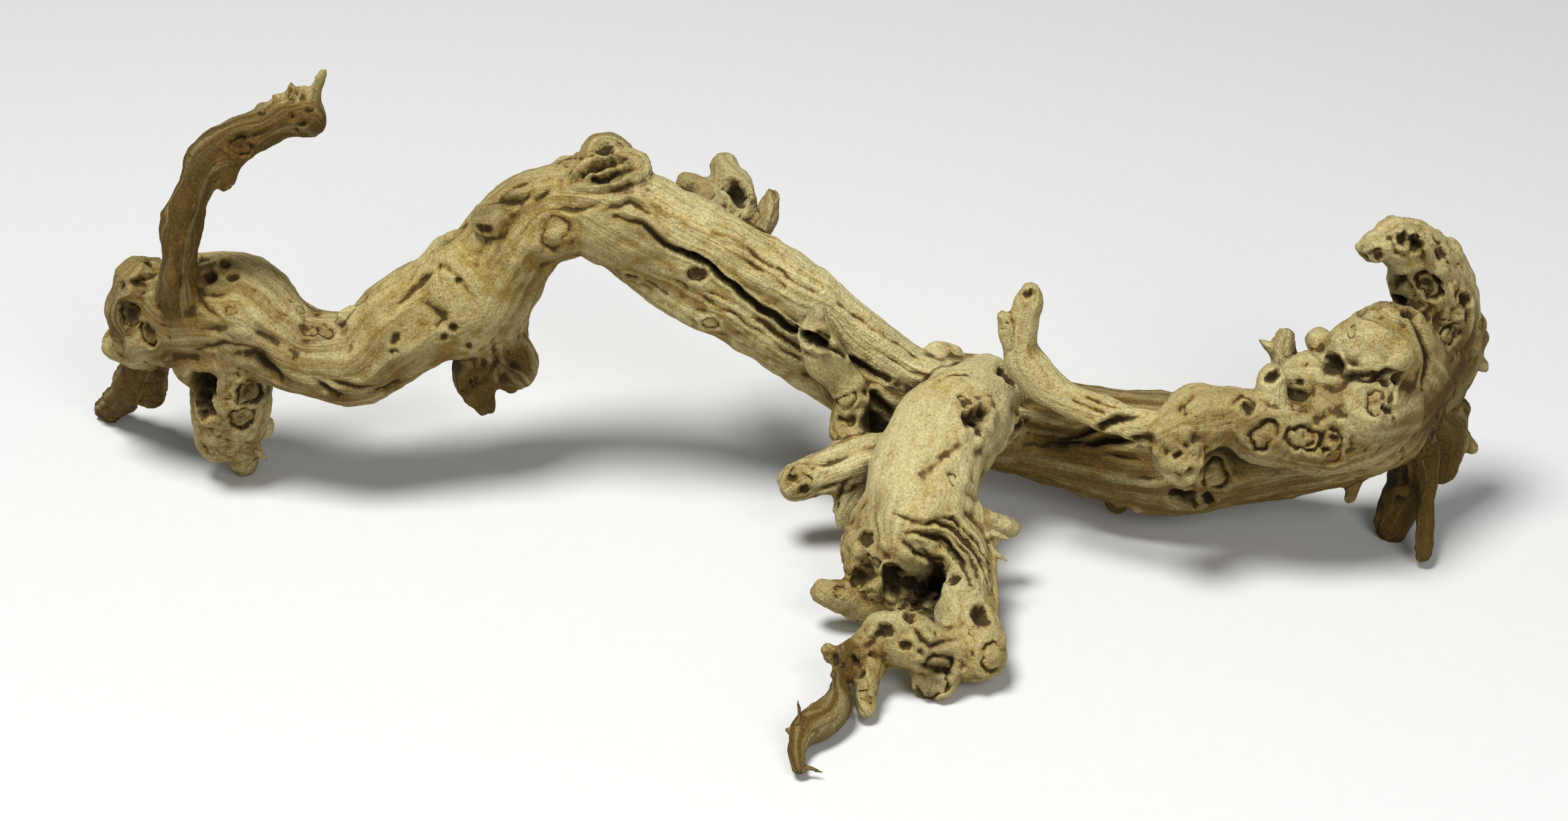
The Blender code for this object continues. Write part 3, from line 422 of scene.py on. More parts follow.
# Grain of each limb: grooves along it, fine strands, and gnarled lumps, in mm of relief.
plainGrain = (0.6, 0.3, 0.5)
limbGrain = {
    "upperStrand": (0.8, 0.35, 0.2), "lowerStrand": (0.7, 0.3, 0.2), "middleOfTrunk": (0.8, 0.35, 0.2),
    "trunk": (0.45, 0.25, 0.4), "shoulder": (0.45, 0.25, 0.6), "tallCane": (0.7, 0.3, 0.3),
    "rightArm": (0.7, 0.3, 0.3), "frontLimb": (0.12, 0.12, 0.3), "frontCane": (0.6, 0.3, 0.3),
    "headCore": (0.5, 0.3, 1.0), "headLobeA": (0.15, 0.2, 0.5), "headLobeB": (0.15, 0.2, 0.6),
    "headLobeC": (0.3, 0.3, 0.9), "headBack": (0.5, 0.3, 1.2), "frontRight": (0.45, 0.25, 0.6),
    "leftFoot": (0.4, 0.3, 0.9), "tipCane": (0.9, 0.5, 0.5), "logStub": (1.0, 0.5, 0.9),
    "frontUnder": (0.3, 0.3, 1.8), "leg": (0.9, 0.5, 1.3), "leftLeg": (0.7, 0.4, 1.5),
    "leftLegLobe": (0.6, 0.4, 1.5), "headSide": (0.6, 0.4, 1.3), "thinLeg": (0.5, 0.3, 0.4),
    "frontArm": (0.4, 0.3, 0.6), "frontBar": (0.35, 0.3, 0.7), "barKnuckle": (0.3, 0.3, 1.4),
}

# How brown old bark still makes a limb, from 0 to 1, with painted shade added on limbs that lie in shade,
# such as the legs and the arm behind the front cane.
plainStainAndShade = 0.12
limbStainAndShade = {
    "tipCane": 1.0, "tipThorn": 1.0, "tipSpike": 1.0, "tipHook": 1.0, "tallCane": 1.1, "caneSpike": 0.5,
    "caneHorn": 0.5, "caneHook": 0.8, "leftLeg": 1.05, "leftHeadLow": 0.3, "leg": 1.2, "thinLeg": 1.2,
    "legProng": 0.7, "twig": 0.8, "headSide": 1.05, "headBack": 0.6, "backStub": 0.45,
    "backStubLobe": 0.5, "splinter": 0.6, "shoulderFoot": 0.9, "underStub": 0.3, "frontUnder": 0.3,
    "barKnuckle": 0.35, "archKnob": 0.8, "deadFinger": 0.4, "deadStrip": 0.5, "frontArmBack": 0.4,
    "leftFoot": 0.35, "flatStub": 0.3, "middleOfTrunk": 0.2, "trunk": 0.5, "frontArm": 0.3,
    "frontBar": 0.36, "headLobeA": 0.32, "headLobeB": 0.3, "headLobeC": 0.3, "headLobeD": 0.32,
    "headCore": 0.3, "upperStrand": 0.0, "lowerStrand": 0.04, "leftLegLobe": 1.0, "leftHead": 0.6,
    "scarRim": 0.3, "shoulder": 0.2, "rightArm": 0.85, "frontRight": 0.35,
}

# Brown left in patches, together with painted shade on lower and shaded parts: across, up, radius, strength.
brownAndShadePatches = [
    (-424, 66, 22, 0.5), (-436, 44, 14, 0.5), (-404, 36, 16, 0.5), (-376, 36, 20, 0.4),
    (-330, 22, 18, 0.4), (-290, 8, 16, 0.45), (-250, 18, 14, 0.3), (-384, 10, 14, 0.4),
    (-350, -24, 16, 0.35), (-176, 30, 20, 0.9), (-184, 14, 14, 0.6), (-166, 48, 14, 0.5),
    (-196, 128, 14, 0.5), (-176, 137, 12, 0.5), (-110, 158, 14, 0.5), (-88, 100, 12, 0.3),
    (30, 36, 10, 0.4), (24, 60, 8, 0.4), (40, 0, 10, 0.25), (10, -48, 11, 0.5), (58, -62, 14, 0.5),
    (130, -4, 12, 0.3), (56, -100, 22, 0.5), (60, -80, 16, 0.3), (98, -172, 14, 0.4),
    (140, -158, 12, 0.3), (46, -160, 18, 0.4), (54, -182, 12, 0.4), (134, -110, 10, 0.3),
    (200, -14, 20, 0.5), (170, -4, 16, 0.4), (258, -30, 16, 0.35), (300, -20, 18, 0.35),
    (330, -36, 20, 0.35), (360, -34, 20, 0.3), (436, 60, 20, 0.3), (440, 20, 22, 0.5),
    (420, 100, 14, 0.2), (386, 8, 12, 0.3), (326, 42, 10, 0.4), (428, 84, 18, 0.35), (444, 44, 20, 0.5),
    (424, 6, 24, 0.5), (404, -14, 22, 0.5), (402, 18, 12, 0.4), (366, 12, 10, 0.3), (340, 6, 14, 0.35),
    (312, -6, 12, 0.25), (278, -10, 16, 0.25), (146, 24, 8, 0.4), (-358, -4, 14, 0.3),
    (-366, 92, 12, 0.35), (-262, 30, 20, 0.25), (-310, 40, 20, 0.2)]

# Seeded ones. Turn is how far towards the eye they may face, clear the mm they stay above the surface.
hiddenKnots = {
    "count": 90, "seed": 7, "smallest": 3.0, "spread": 6.5, "turn": -0.12, "clear": 9.0,
    "depth": 0.55, "rim": 0.24, "plug": 0.8,
}
smallPits = {
    "count": 110, "seed": 11, "smallest": 1.6, "spread": 1.8, "turn": 2.0, "clear": 2.0,
    "depth": 0.9, "rim": 0.25,
}
mostTries = 6000
gnarledLimbs = ["headCore", "headLobeC", "headBack", "leftFoot", "frontUnder", "frontBurl",
                "shoulderFoot", "barKnuckle", "leftHead", "knuckle"]


def placed(across, up, depth):
    level = eyeSettings["distance"] * math.cos(eyeSettings["lookDown"])
    height = eyeSettings["distance"] * math.sin(eyeSettings["lookDown"])
    scale = (depth + level) / (up * math.sin(eyeSettings["lookDown"]) + level)
    z = height + scale * (up * math.cos(eyeSettings["lookDown"]) - height)
    place = np.array([scale * across - eyeSettings["middleX"], depth - eyeSettings["middleY"],
                      z - eyeSettings["surface"]])
    return place * mm, scale


def eyePoint():
    level = eyeSettings["distance"] * math.cos(eyeSettings["lookDown"])
    height = eyeSettings["distance"] * math.sin(eyeSettings["lookDown"])
    return Vector((-eyeSettings["middleX"], -level - eyeSettings["middleY"],
                   height - eyeSettings["surface"])) * mm


# A smooth curve of places and radii through the stations, with rounded ends.
def smoothLine(stations, steps=5):
    rows = []
    for across, up, depth, radius in stations:
        place, scale = placed(across, up, depth)
        rows.append(np.array([*place, radius * scale * mm]))
    rows = [2 * rows[0] - rows[1]] + rows + [2 * rows[-1] - rows[-2]]
    line = []
    for before, start, end, after in zip(rows, rows[1:], rows[2:], rows[3:]):
        for step in range(steps):
            t = step / steps
            line.append(0.5 * (2 * start + (end - before) * t
                               + (2 * before - 5 * start + 4 * end - after) * t ** 2
                               + (3 * start - before - 3 * end + after) * t ** 3))
    line.append(rows[-2])
    return roundEnd(roundEnd(line)[::-1])[::-1]


def roundEnd(line):
    tip = line[-1]
    along = tip[:3] - line[-2][:3]
    along = along / np.linalg.norm(along)
    cap = []
    for reach in (0.4, 0.75, 0.95):
        cap.append(np.array([*(tip[:3] + along * tip[3] * reach), tip[3] * math.sqrt(1 - reach ** 2)]))
    return line + cap


# The limb's own directions at each row, carried along it without twist.
def framesAlong(line):
    places = [Vector(row[:3]) for row in line]
    frames = []
    side = None
    for index, place in enumerate(places):
        along = (places[min(index + 1, len(places) - 1)] - places[max(index - 1, 0)]).normalized()
        if side is None:
            side = along.orthogonal()
        side = (side - along * side.dot(along)).normalized()
        frames.append((side, along.cross(side), along))
    return frames


# A limb is a ring pushed along its line, closed at both ends.
def growLimb(bm, line, sides):
    ring = bmesh.ops.create_circle(bm, cap_ends=False, radius=1.0, segments=sides)["verts"]
    rim = list({edge for vert in ring for edge in vert.link_edges})
    firstRim = rim
    last = Matrix.Identity(4)
    for row, (side, other, along) in zip(line, framesAlong(line)):
        here = Matrix((side, other, along)).transposed().to_4x4() @ Matrix.Scale(row[3] / mm, 4)
        here.translation = Vector(row[:3]) / mm
        if last != Matrix.Identity(4):
            pushed = bmesh.ops.extrude_edge_only(bm, edges=rim)["geom"]
            ring = [item for item in pushed if isinstance(item, bmesh.types.BMVert)]
            fresh = set(ring)
            rim = [item for item in pushed if isinstance(item, bmesh.types.BMEdge)
                   and fresh.issuperset(item.verts)]
        bmesh.ops.transform(bm, matrix=here @ last.inverted(), verts=ring)
        last = here
    bmesh.ops.edgeloop_fill(bm, edges=firstRim)
    bmesh.ops.edgeloop_fill(bm, edges=rim)


def evaluatedMesh(item):
    bpy.context.view_layer.update()
    return bpy.data.meshes.new_from_object(item.evaluated_get(bpy.context.evaluated_depsgraph_get()))


# One closed skin around everything in the bmesh, without what lies inside.
def fused(bm, voxel):
    mesh = bpy.data.meshes.new("rough")
    bm.to_mesh(mesh)
    bm.free()
    guide = bpy.data.objects.new("rough", mesh)
    bpy.context.scene.collection.objects.link(guide)
    remesh = guide.modifiers.new("Fuse", "REMESH")
    remesh.mode = "VOXEL"
    remesh.voxel_size = voxel * mm
    skin = evaluatedMesh(guide)
    bpy.data.objects.remove(guide)
    return largestBody(skin)


def largestBody(mesh):
    bm = bmesh.new()
    bm.from_mesh(mesh)
    bodies = []
    seen = set()
    for first in bm.verts:
        if first in seen:
            continue
        body = {first}
        growing = [first]
        while growing:
            for edge in growing.pop().link_edges:
                for vert in edge.verts:
                    if vert not in body:
                        body.add(vert)
                        growing.append(vert)
        seen |= body
        bodies.append(body)
    bodies.sort(key=len)
    for body in bodies[:-1]:
        bmesh.ops.delete(bm, geom=list(body), context="VERTS")
    bm.to_mesh(mesh)
    bm.free()
    return mesh


# The points of a mesh as one table, with the moves that shape it.
class Skin:
    def __init__(self, mesh):
        self.mesh = mesh
        self.points = np.empty(len(mesh.vertices) * 3)
        mesh.vertices.foreach_get("co", self.points)
        self.points = self.points.reshape(-1, 3)
        ends = np.empty(len(mesh.edges) * 2, dtype=np.int64)
        mesh.edges.foreach_get("vertices", ends)
        self.first, self.second = ends.reshape(-1, 2).T.copy()
        self.valence = np.bincount(ends, minlength=len(self.points))

    def write(self):
        self.mesh.vertices.foreach_set("co", self.points.ravel())
        self.mesh.update()

    def sortPoints(self):
        self.order = np.argsort(self.points[:, 0])
        self.sortedX = self.points[self.order, 0]

    # The points within reach of a place. Their order along X is kept from the last sortPoints.
    def nearby(self, place, reach):
        slack = skinSettings["slack"] * mm
        low, high = np.searchsorted(self.sortedX, (place[0] - reach - slack, place[0] + reach + slack))
        picked = self.order[low:high]
        return picked[np.abs(self.points[picked] - place).max(axis=1) < reach]

    def normals(self):
        self.write()
        found = np.empty(len(self.points) * 3)
        self.mesh.vertex_normals.foreach_get("vector", found)
        return found.reshape(-1, 3)

    def neighbourMean(self, values):
        total = np.empty_like(values)
        for axis in range(values.shape[1]):
            column = values[:, axis]
            total[:, axis] = (np.bincount(self.first, column[self.second], len(column))
                              + np.bincount(self.second, column[self.first], len(column)))
        return total / self.valence[:, None]

    def smoothed(self, values, rounds):
        for _ in range(rounds):
            values = 0.5 * (values + self.neighbourMean(values))
        return values

    def fillForks(self, rounds):
        for _ in range(rounds):
            normals = self.normals()
            lift = ((self.neighbourMean(self.points) - self.points) * normals).sum(axis=1)
            self.points += skinSettings["forkShare"] * np.maximum(lift, 0)[:, None] * normals

    def tree(self):
        self.write()
        faces = [tuple(polygon.vertices) for polygon in self.mesh.polygons]
        return BVHTree.FromPolygons(self.points.tolist(), faces)


def noiseAt(table, octaves=1):
    if octaves == 1:
        return np.array([noise.noise(row) for row in table.tolist()])
    return np.array([noise.fractal(row, 0.8, 2.1, octaves) for row in table.tolist()])


def smoothStep(low, high, values):
    t = np.clip((values - low) / (high - low), 0, 1)
    return t * t * (3 - 2 * t)


# Where the line of sight through (across, up) meets the wood, and which way the surface faces there.
def seenSpot(tree, across, up, lean=knotShape["lean"]):
    eye = eyePoint()
    aim = Vector(placed(across, up, 0.0)[0])
    place, normal, _, _ = tree.ray_cast(eye, (aim - eye).normalized())
    if place is None:
        return None
    return np.array(place), np.array((normal + lean * (eye - place).normalized()).normalized())


# Seeded spots on the chosen limbs, all round or only where the eye doesn't see.
def seededSpots(tree, lines, names, settings):
    noise.seed_set(settings["seed"])
    towardEye = Vector((0, -math.cos(eyeSettings["lookDown"]), math.sin(eyeSettings["lookDown"])))
    spots = []
    tries = 0
    while len(spots) < settings["count"] and tries < mostTries:
        tries += 1
        line = lines[names[int(noise.random() * len(names))]]
        row = line[int(noise.random() * len(line))]
        side = noise.random_unit_vector()
        size = settings["smallest"] + settings["spread"] * noise.random() ** 2
        if side.dot(towardEye) > settings["turn"]:
            continue
        place, normal, _, _ = tree.ray_cast(Vector(row[:3]) + side * row[3] * 2, -side)
        if place is not None and place.z > settings["clear"] * mm:
            spots.append((np.array(place), np.array(normal), min(size, 0.45 * row[3] / mm + 1)))
    return spots


# The flat angle and distance of points around a place.
def around(points, place, normal):
    side = np.cross(normal, (0.31, 0.52, 0.79))
    side = side / np.linalg.norm(side)
    away = points - place
    x = away @ side
    y = away @ np.cross(normal, side)
    return np.hypot(x, y), np.arctan2(y, x), away @ normal


# A knot: a swollen rim round a hole, or round a groove with the old branch left in it.
def knotProfile(points, normals, knot):
    place, normal, radius, depth, rim, plug = knot
    flat, angle, rise = around(points, place, normal)
    seed = float(place[0] * 900 + place[1] * 700)
    ring = np.column_stack([np.cos(angle), np.sin(angle), np.full(len(angle), seed)])
    oval = 1 + knotShape["oval"] * math.sin(seed * 1.7) * np.cos(2 * angle + seed)
    waver = (oval + knotShape["waver"] * noiseAt(ring * (1.1, 1.1, 1))
             + knotShape["fineWaver"] * noiseAt(ring * (3.1, 3.1, 1)))
    q = flat / (radius * mm * waver)
    uneven = noiseAt(points / (knotShape["roughness"] * mm) + seed)
    hole = np.clip(1 - q ** 2.3, 0, 1) ** 0.85
    if plug > 0:
        broken = smoothStep(-0.45, 0.15, noiseAt(ring * (1.0, 1.0, 1) + 4.4))
        grooved = np.exp(-((q - knotShape["groovePlace"]) / knotShape["grooveWidth"]) ** 2)
        grooved = grooved * (0.25 + 0.75 * broken)
        offCentre = np.hypot(q * np.cos(angle) - 0.15, q * np.sin(angle) + 0.1)
        eye = knotShape["eye"] * np.exp(-(offCentre / knotShape["eyeWidth"]) ** 2)
        left = hole * (1 - plug) + plug * eye + 0.25 * plug * uneven * (q < 0.8)
        hole = np.maximum(left, grooved)
    else:
        hole = hole * (1 + 0.35 * uneven)
    swelling = np.exp(-((q - knotShape["rimPlace"]) / knotShape["rimWidth"]) ** 2)
    swelling = swelling * (0.8 + 1.1 * noiseAt(ring * (1.9, 1.9, 1) + 7))
    swelling = swelling + knotShape["dome"] * plug * np.exp(-(q / knotShape["domeWidth"]) ** 2)
    facing = (normals @ normal > -0.15) & (np.abs(rise) < radius * mm * 2.2)
    return hole * facing, swelling * facing


def stampKnot(skin, normals, knot):
    place, normal, radius, depth, rim, plug = knot
    picked = skin.nearby(place, radius * mm * knotShape["reach"])
    hole, swelling = knotProfile(skin.points[picked], normals[picked], knot)
    skin.points[picked] += np.outer((rim * swelling - depth * hole) * mm, normal)


# The spots of a crack or groove on the surface, along a jittered route.
def crackRoute(tree, corners):
    route = []
    for (x0, y0), (x1, y1) in zip(corners, corners[1:]):
        count = max(2, int(math.hypot(x1 - x0, y1 - y0) / crackShape["stepLength"]))
        for step in range(count):
            t = step / count
            x = x0 + (x1 - x0) * t
            y = y0 + (y1 - y0) * t
            wander = noise.noise(Vector((x, y, 3.3)) * 0.11) * crackShape["wander"]
            route.append(seenSpot(tree, x + wander * 0.5, y + wander))
    route.append(seenSpot(tree, *corners[-1]))
    return [spot for spot in route if spot]


# How near each picked point is to a crack, in half widths, how far the crack is open beside it, and which
# way is out. Heights up to slack don't count as distance.
def crackProfile(skin, crack, slack):
    halfWidth, depth, route = crack
    if len(route) < 2:
        return [], None, None, None
    places = np.array([spot[0] for spot in route])
    middle = (places.min(axis=0) + places.max(axis=0)) / 2
    reach = (places.max(axis=0) - places.min(axis=0)).max() / 2 + 5 * halfWidth * mm
    picked = skin.nearby(middle, reach)
    points = skin.points[picked]
    nearest = np.full(len(points), np.inf)
    share = np.zeros(len(points))
    out = np.zeros_like(points)
    for index, (start, end) in enumerate(zip(route, route[1:])):
        along = end[0] - start[0]
        if along @ along < 1e-12 or along @ along > (crackShape["longestGap"] * mm) ** 2:
            continue
        t = np.clip((points - start[0]) @ along / (along @ along), 0, 1)
        away = points - start[0] - t[:, None] * along
        rise = away @ start[1]
        flat = np.linalg.norm(away - np.outer(rise, start[1]), axis=1)
        gap = np.hypot(flat, np.maximum(np.abs(rise) - slack * mm, 0))
        closer = gap < nearest
        nearest[closer] = gap[closer]
        share[closer] = (index + t[closer]) / (len(route) - 1)
        out[closer] = start[1]
    taper = np.sqrt(np.clip(np.sin(np.pi * np.clip(share, 0.02, 0.98)), 0, 1))
    return picked, nearest / (halfWidth * mm), taper, out


def stampCrack(skin, crack):
    picked, q, taper, out = crackProfile(skin, crack, 0.0)
    if len(picked):
        lip = np.exp(-((q - crackShape["lipPlace"]) / crackShape["lipWidth"]) ** 2)
        profile = np.exp(-q ** 2) - crackShape["lip"] * lip
        skin.points[picked] -= out * (profile * taper * crack[1] * mm)[:, None]


# These limbs take the second of the two grain attributes, so that neighbours don't share one.
secondGrain = {
    "upperStrand", "middleOfTrunk", "leftHead", "leftHeadLow", "tallCane", "leftFoot", "shoulder", "scarRim",
    "archKnob", "frontLimb", "frontBar", "headCore", "frontRight", "backStub", "splinter", "frontArmBack",
    "deadFinger", "deadStrip",
}


# Directions that follow the wood: for each point the nearest limb of each set, with a place round the
# limb, widened to its mean radius, and a length along it. The grain parts round every knot.
def grainField(skin, lines, knots):
    points = skin.points
    count = len(points)
    skin.sortPoints()
    flow = knotFlow(skin, knots)
    gaps = np.full((2, count), np.inf)
    owners = np.zeros((2, count), dtype=np.int64)
    tables = []
    for number, (name, line) in enumerate(lines.items()):
        table = np.array(line)
        reach = table[:, 3:] + grainShape["reach"] * mm
        inside = ((points > (table[:, :3] - reach).min(axis=0)).all(axis=1)
                  & (points < (table[:, :3] + reach).max(axis=0)).all(axis=1))
        picked = np.nonzero(inside)[0]
        here = points[picked]
        square = ((here ** 2).sum(axis=1)[:, None] + (table[:, :3] ** 2).sum(axis=1)
                  - 2 * here @ table[:, :3].T)
        gap = np.sqrt(np.maximum(square, 0)) - table[:, 3]
        best = np.zeros(count, dtype=np.int64)
        best[picked] = gap.argmin(axis=1)
        tables.append((table, best))
        least = np.full(count, np.inf)
        least[picked] = gap.min(axis=1)
        part = int(name in secondGrain)
        nearer = least < gaps[part]
        gaps[part][nearer] = least[nearer]
        owners[part][nearer] = number
    gaps = np.minimum(gaps, 1.0)
    weight = smoothStep(-grainShape["changeOver"] * mm, grainShape["changeOver"] * mm, gaps[0] - gaps[1])
    fields = []
    for row in owners:
        field = np.zeros((count, 3))
        for number, line in enumerate(lines.values()):
            mine = np.nonzero(row == number)[0]
            if len(mine):
                table, best = tables[number]
                field[mine] = alongLimb(points[mine], table, framesAlong(line), best[mine], flow[mine])
        fields.append(field)
    return fields, weight, owners


def alongLimb(points, table, frames, best, flow):
    sides, others, alongs = (np.array([frame[part] for frame in frames]) for part in range(3))
    lengths = np.concatenate([[0], np.cumsum(np.linalg.norm(np.diff(table[:, :3], axis=0), axis=1))])
    ahead = ((points - table[best, :3]) * alongs[best]).sum(axis=1)
    low = np.clip(np.where(ahead < 0, best - 1, best), 0, len(table) - 2)
    high = low + 1
    before = np.maximum(((points - table[low, :3]) * alongs[low]).sum(axis=1), 0)
    after = np.maximum(((table[high, :3] - points) * alongs[high]).sum(axis=1), 0)
    t = (before / np.maximum(before + after, 1e-9))[:, None]
    away = points - (table[low, :3] * (1 - t) + table[high, :3] * t)
    x = (away * (sides[low] * (1 - t) + sides[high] * t)).sum(axis=1)
    y = (away * (others[low] * (1 - t) + others[high] * t)).sum(axis=1)
    radius = table[:, 3].mean()
    length = lengths[low] * (1 - t[:, 0]) + lengths[high] * t[:, 0]
    roundLimb = np.cross(alongs[low], away)
    roundLimb /= np.maximum(np.linalg.norm(roundLimb, axis=1), 1e-9)[:, None]
    angle = np.arctan2(y, x) + (roundLimb * flow).sum(axis=1) / radius + grainShape["twist"] * length
    return np.column_stack([np.cos(angle) * radius, np.sin(angle) * radius, length])


# How far the grain is pushed aside at each point by the knots near it.
def knotFlow(skin, knots):
    flow = np.zeros_like(skin.points)
    for place, normal, radius in knots:
        size = radius * grainShape["flowSize"] * mm
        reach = size * grainShape["flowReach"]
        picked = skin.nearby(place, reach)
        away = skin.points[picked] - place
        away -= np.outer(away @ normal, normal)
        square = (away ** 2).sum(axis=1)
        fade = np.clip(grainShape["flowFade"] - np.sqrt(square) / reach * grainShape["flowFade"], 0, 1)
        flow[picked] -= away * (fade * size ** 2 / np.maximum(square, size ** 2))[:, None]
    return flow


def grainRelief(points, fields, weight, owners, lines):
    strengths = np.array([limbGrain.get(name, plainGrain) for name in lines])
    patches = noiseAt(points / (grainShape["patch"] * mm) + 3.1)
    fluteWidth, fluteLength = grainShape["flute"]
    strandWidth, strandLength = grainShape["strand"]
    fluteSize = np.array([fluteWidth, fluteWidth, fluteLength]) * mm
    strandSize = np.array([strandWidth, strandWidth, strandLength]) * mm
    relief = np.zeros(len(points))
    for field, owner, share in zip(fields, owners, (1 - weight, weight)):
        wander = noiseAt(field / (grainShape["wander"] * mm) + 9.7)[:, None] * (0.2, 0.2, 0.0)
        flutes = noiseAt(field / fluteSize + wander + 1.7)
        strands = noiseAt(field / strandSize + wander * 2 + 5.9)
        groove = np.exp(-(flutes / grainShape["fluteGroove"]) ** 2)
        flute = 0.9 * flutes - groove * smoothStep(-0.25, 0.3, patches)
        groove = np.exp(-(strands / grainShape["strandGroove"]) ** 2)
        strand = 0.8 * strands - 0.9 * groove * smoothStep(-0.4, 0.2, patches)
        relief += share * (strengths[owner, 0] * flute + strengths[owner, 1] * strand)
    lumps = noiseAt(points / (grainShape["lump"] * mm) + 17.3, 2)
    lumpy = strengths[owners[0], 2] * (1 - weight) + strengths[owners[1], 2] * weight
    bend = noiseAt(points / (grainShape["creaseBend"] * mm))[:, None] * 0.35
    bent = points / (grainShape["crease"] * mm) + bend
    cells = np.array([noise.voronoi(row)[0][:2] for row in bent.tolist()])
    creases = np.exp(-((cells[:, 1] - cells[:, 0]) / grainShape["creaseGroove"]) ** 2)
    creases = creases * smoothStep(-0.15, 0.25, patches)
    return relief + (lumps - 1.1 * creases) * lumpy


def makeSkin():
    lines = {name: smoothLine(rows) for name, rows in limbs.items()}
    twigLines = {name: smoothLine(rows, 4) for name, rows in twigs.items()}
    bm = bmesh.new()
    for line in lines.values():
        growLimb(bm, line, limbSides)
    for across, up, depth, radius in knobs:
        place, scale = placed(across, up, depth)
        ball = bmesh.ops.create_icosphere(bm, subdivisions=3, radius=radius * scale)
        bmesh.ops.translate(bm, verts=ball["verts"], vec=Vector(place) / mm)
    bmesh.ops.scale(bm, verts=bm.verts, vec=(mm, mm, mm))
    skin = Skin(fused(bm, skinSettings["coarse"]))
    skin.points = skin.smoothed(skin.points, skinSettings["smoothRounds"])
    skin.points += skin.normals() * skinSettings["regain"] * mm
    skin.fillForks(skinSettings["forkRounds"])
    seed = skinSettings["swellSeed"]
    rise = noiseAt(skin.points / (skinSettings["swellSpread"] * mm) + (seed, -seed, 2 * seed), 3)
    skin.points += skin.normals() * (rise * skinSettings["swellHeight"] * mm)[:, None]
    skin.write()
    print("limbs fused:", len(skin.points), "points")

    tree = skin.tree()
    mounds = [(*spot, radius, height) for across, up, radius, height in nodules
              for spot in [seenSpot(tree, across, up, skinSettings["noduleLean"])] if spot]
    bm = bmesh.new()
    for line in twigLines.values():
        growLimb(bm, line, twigSides)
    for place, normal, radius, height in mounds:
        ball = bmesh.ops.create_icosphere(bm, subdivisions=3, radius=radius)
        bmesh.ops.translate(bm, verts=ball["verts"], vec=Vector(place / mm - normal * (radius - height)))
    bmesh.ops.scale(bm, verts=bm.verts, vec=(mm, mm, mm))
    bm.from_mesh(skin.mesh)
    fine = Skin(fused(bm, skinSettings["fine"]))
    fine.points = fine.smoothed(fine.points, skinSettings["smoothRounds"])
    fine.points += fine.normals() * skinSettings["fineRegain"] * mm
    print("twigs joined:", len(fine.points), "points")
    return fine, {**lines, **twigLines}, mounds


def carveSkin(skin, lines, mounds):
    tree = skin.tree()
    knots = []
    for across, up, radius, depth, rim, plug in knotHoles:
        spot = seenSpot(tree, across, up)
        if spot:
            knots.append((*spot, radius, depth, rim, plug))
    for number, (place, normal, radius) in enumerate(seededSpots(tree, lines, list(limbs), hiddenKnots)):
        knots.append((place, normal, radius, hiddenKnots["depth"] * radius, hiddenKnots["rim"] * radius,
                      hiddenKnots["plug"] * (number % 3 > 0)))
    pits = [(place, normal, radius, smallPits["depth"] * radius, smallPits["rim"], 0)
            for place, normal, radius in seededSpots(tree, lines, gnarledLimbs, smallPits)]
    cracks = [(halfWidth, depth, crackRoute(tree, corners)) for halfWidth, depth, corners in checks]
    turned = [knot[:3] for knot in knots] + [mound[:3] for mound in mounds]
    fields, weight, owners = grainField(skin, lines, turned)
    relief = grainRelief(skin.points, fields, weight, owners, lines)
    print("grain laid:", len(turned), "knots turn it")
    normals = skin.normals()
    for crack in cracks:
        stampCrack(skin, crack)
    for knot in knots + pits:
        stampKnot(skin, normals, knot)
    skin.points += skin.normals() * (relief * mm)[:, None]
    skin.points = skin.points + skinSettings["settle"] * (skin.neighbourMean(skin.points) - skin.points)
    print("knots, cracks and pits cut:", len(knots), len(checks), len(pits))
    return knots + pits, cracks, turned


# Thins the skin where it is plain and keeps it inside the solid's own box.
def finishMesh(skin):
    lowest, highest = (np.array(corner) for corner in cadBox)
    margin = skinSettings["margin"] * mm
    lowest = lowest + (margin, margin, skinSettings["lowestMargin"] * mm)
    skin.points = np.clip(skin.points, lowest, highest - margin)
    skin.write()
    guide = bpy.data.objects.new("thick", skin.mesh)
    bpy.context.scene.collection.objects.link(guide)
    thin = guide.modifiers.new("Thin", "DECIMATE")
    thin.ratio = min(1.0, skinSettings["triangles"] / (2 * len(skin.mesh.polygons)))
    mesh = evaluatedMesh(guide)
    bpy.data.objects.remove(guide)
    bm = bmesh.new()
    bm.from_mesh(mesh)
    bmesh.ops.triangulate(bm, faces=bm.faces)
    bmesh.ops.recalc_face_normals(bm, faces=bm.faces)
    for face in bm.faces:
        face.smooth = True
    bm.to_mesh(mesh)
    bm.free()
    mesh.name = "grapevineWood"
    print("skin thinned:", len(mesh.polygons), "triangles")
    return mesh


def store(mesh, name, kind, values):
    attribute = mesh.attributes.new(name, kind, "POINT")
    attribute.data.foreach_set("vector" if kind == "FLOAT_VECTOR" else "value", np.ravel(values))
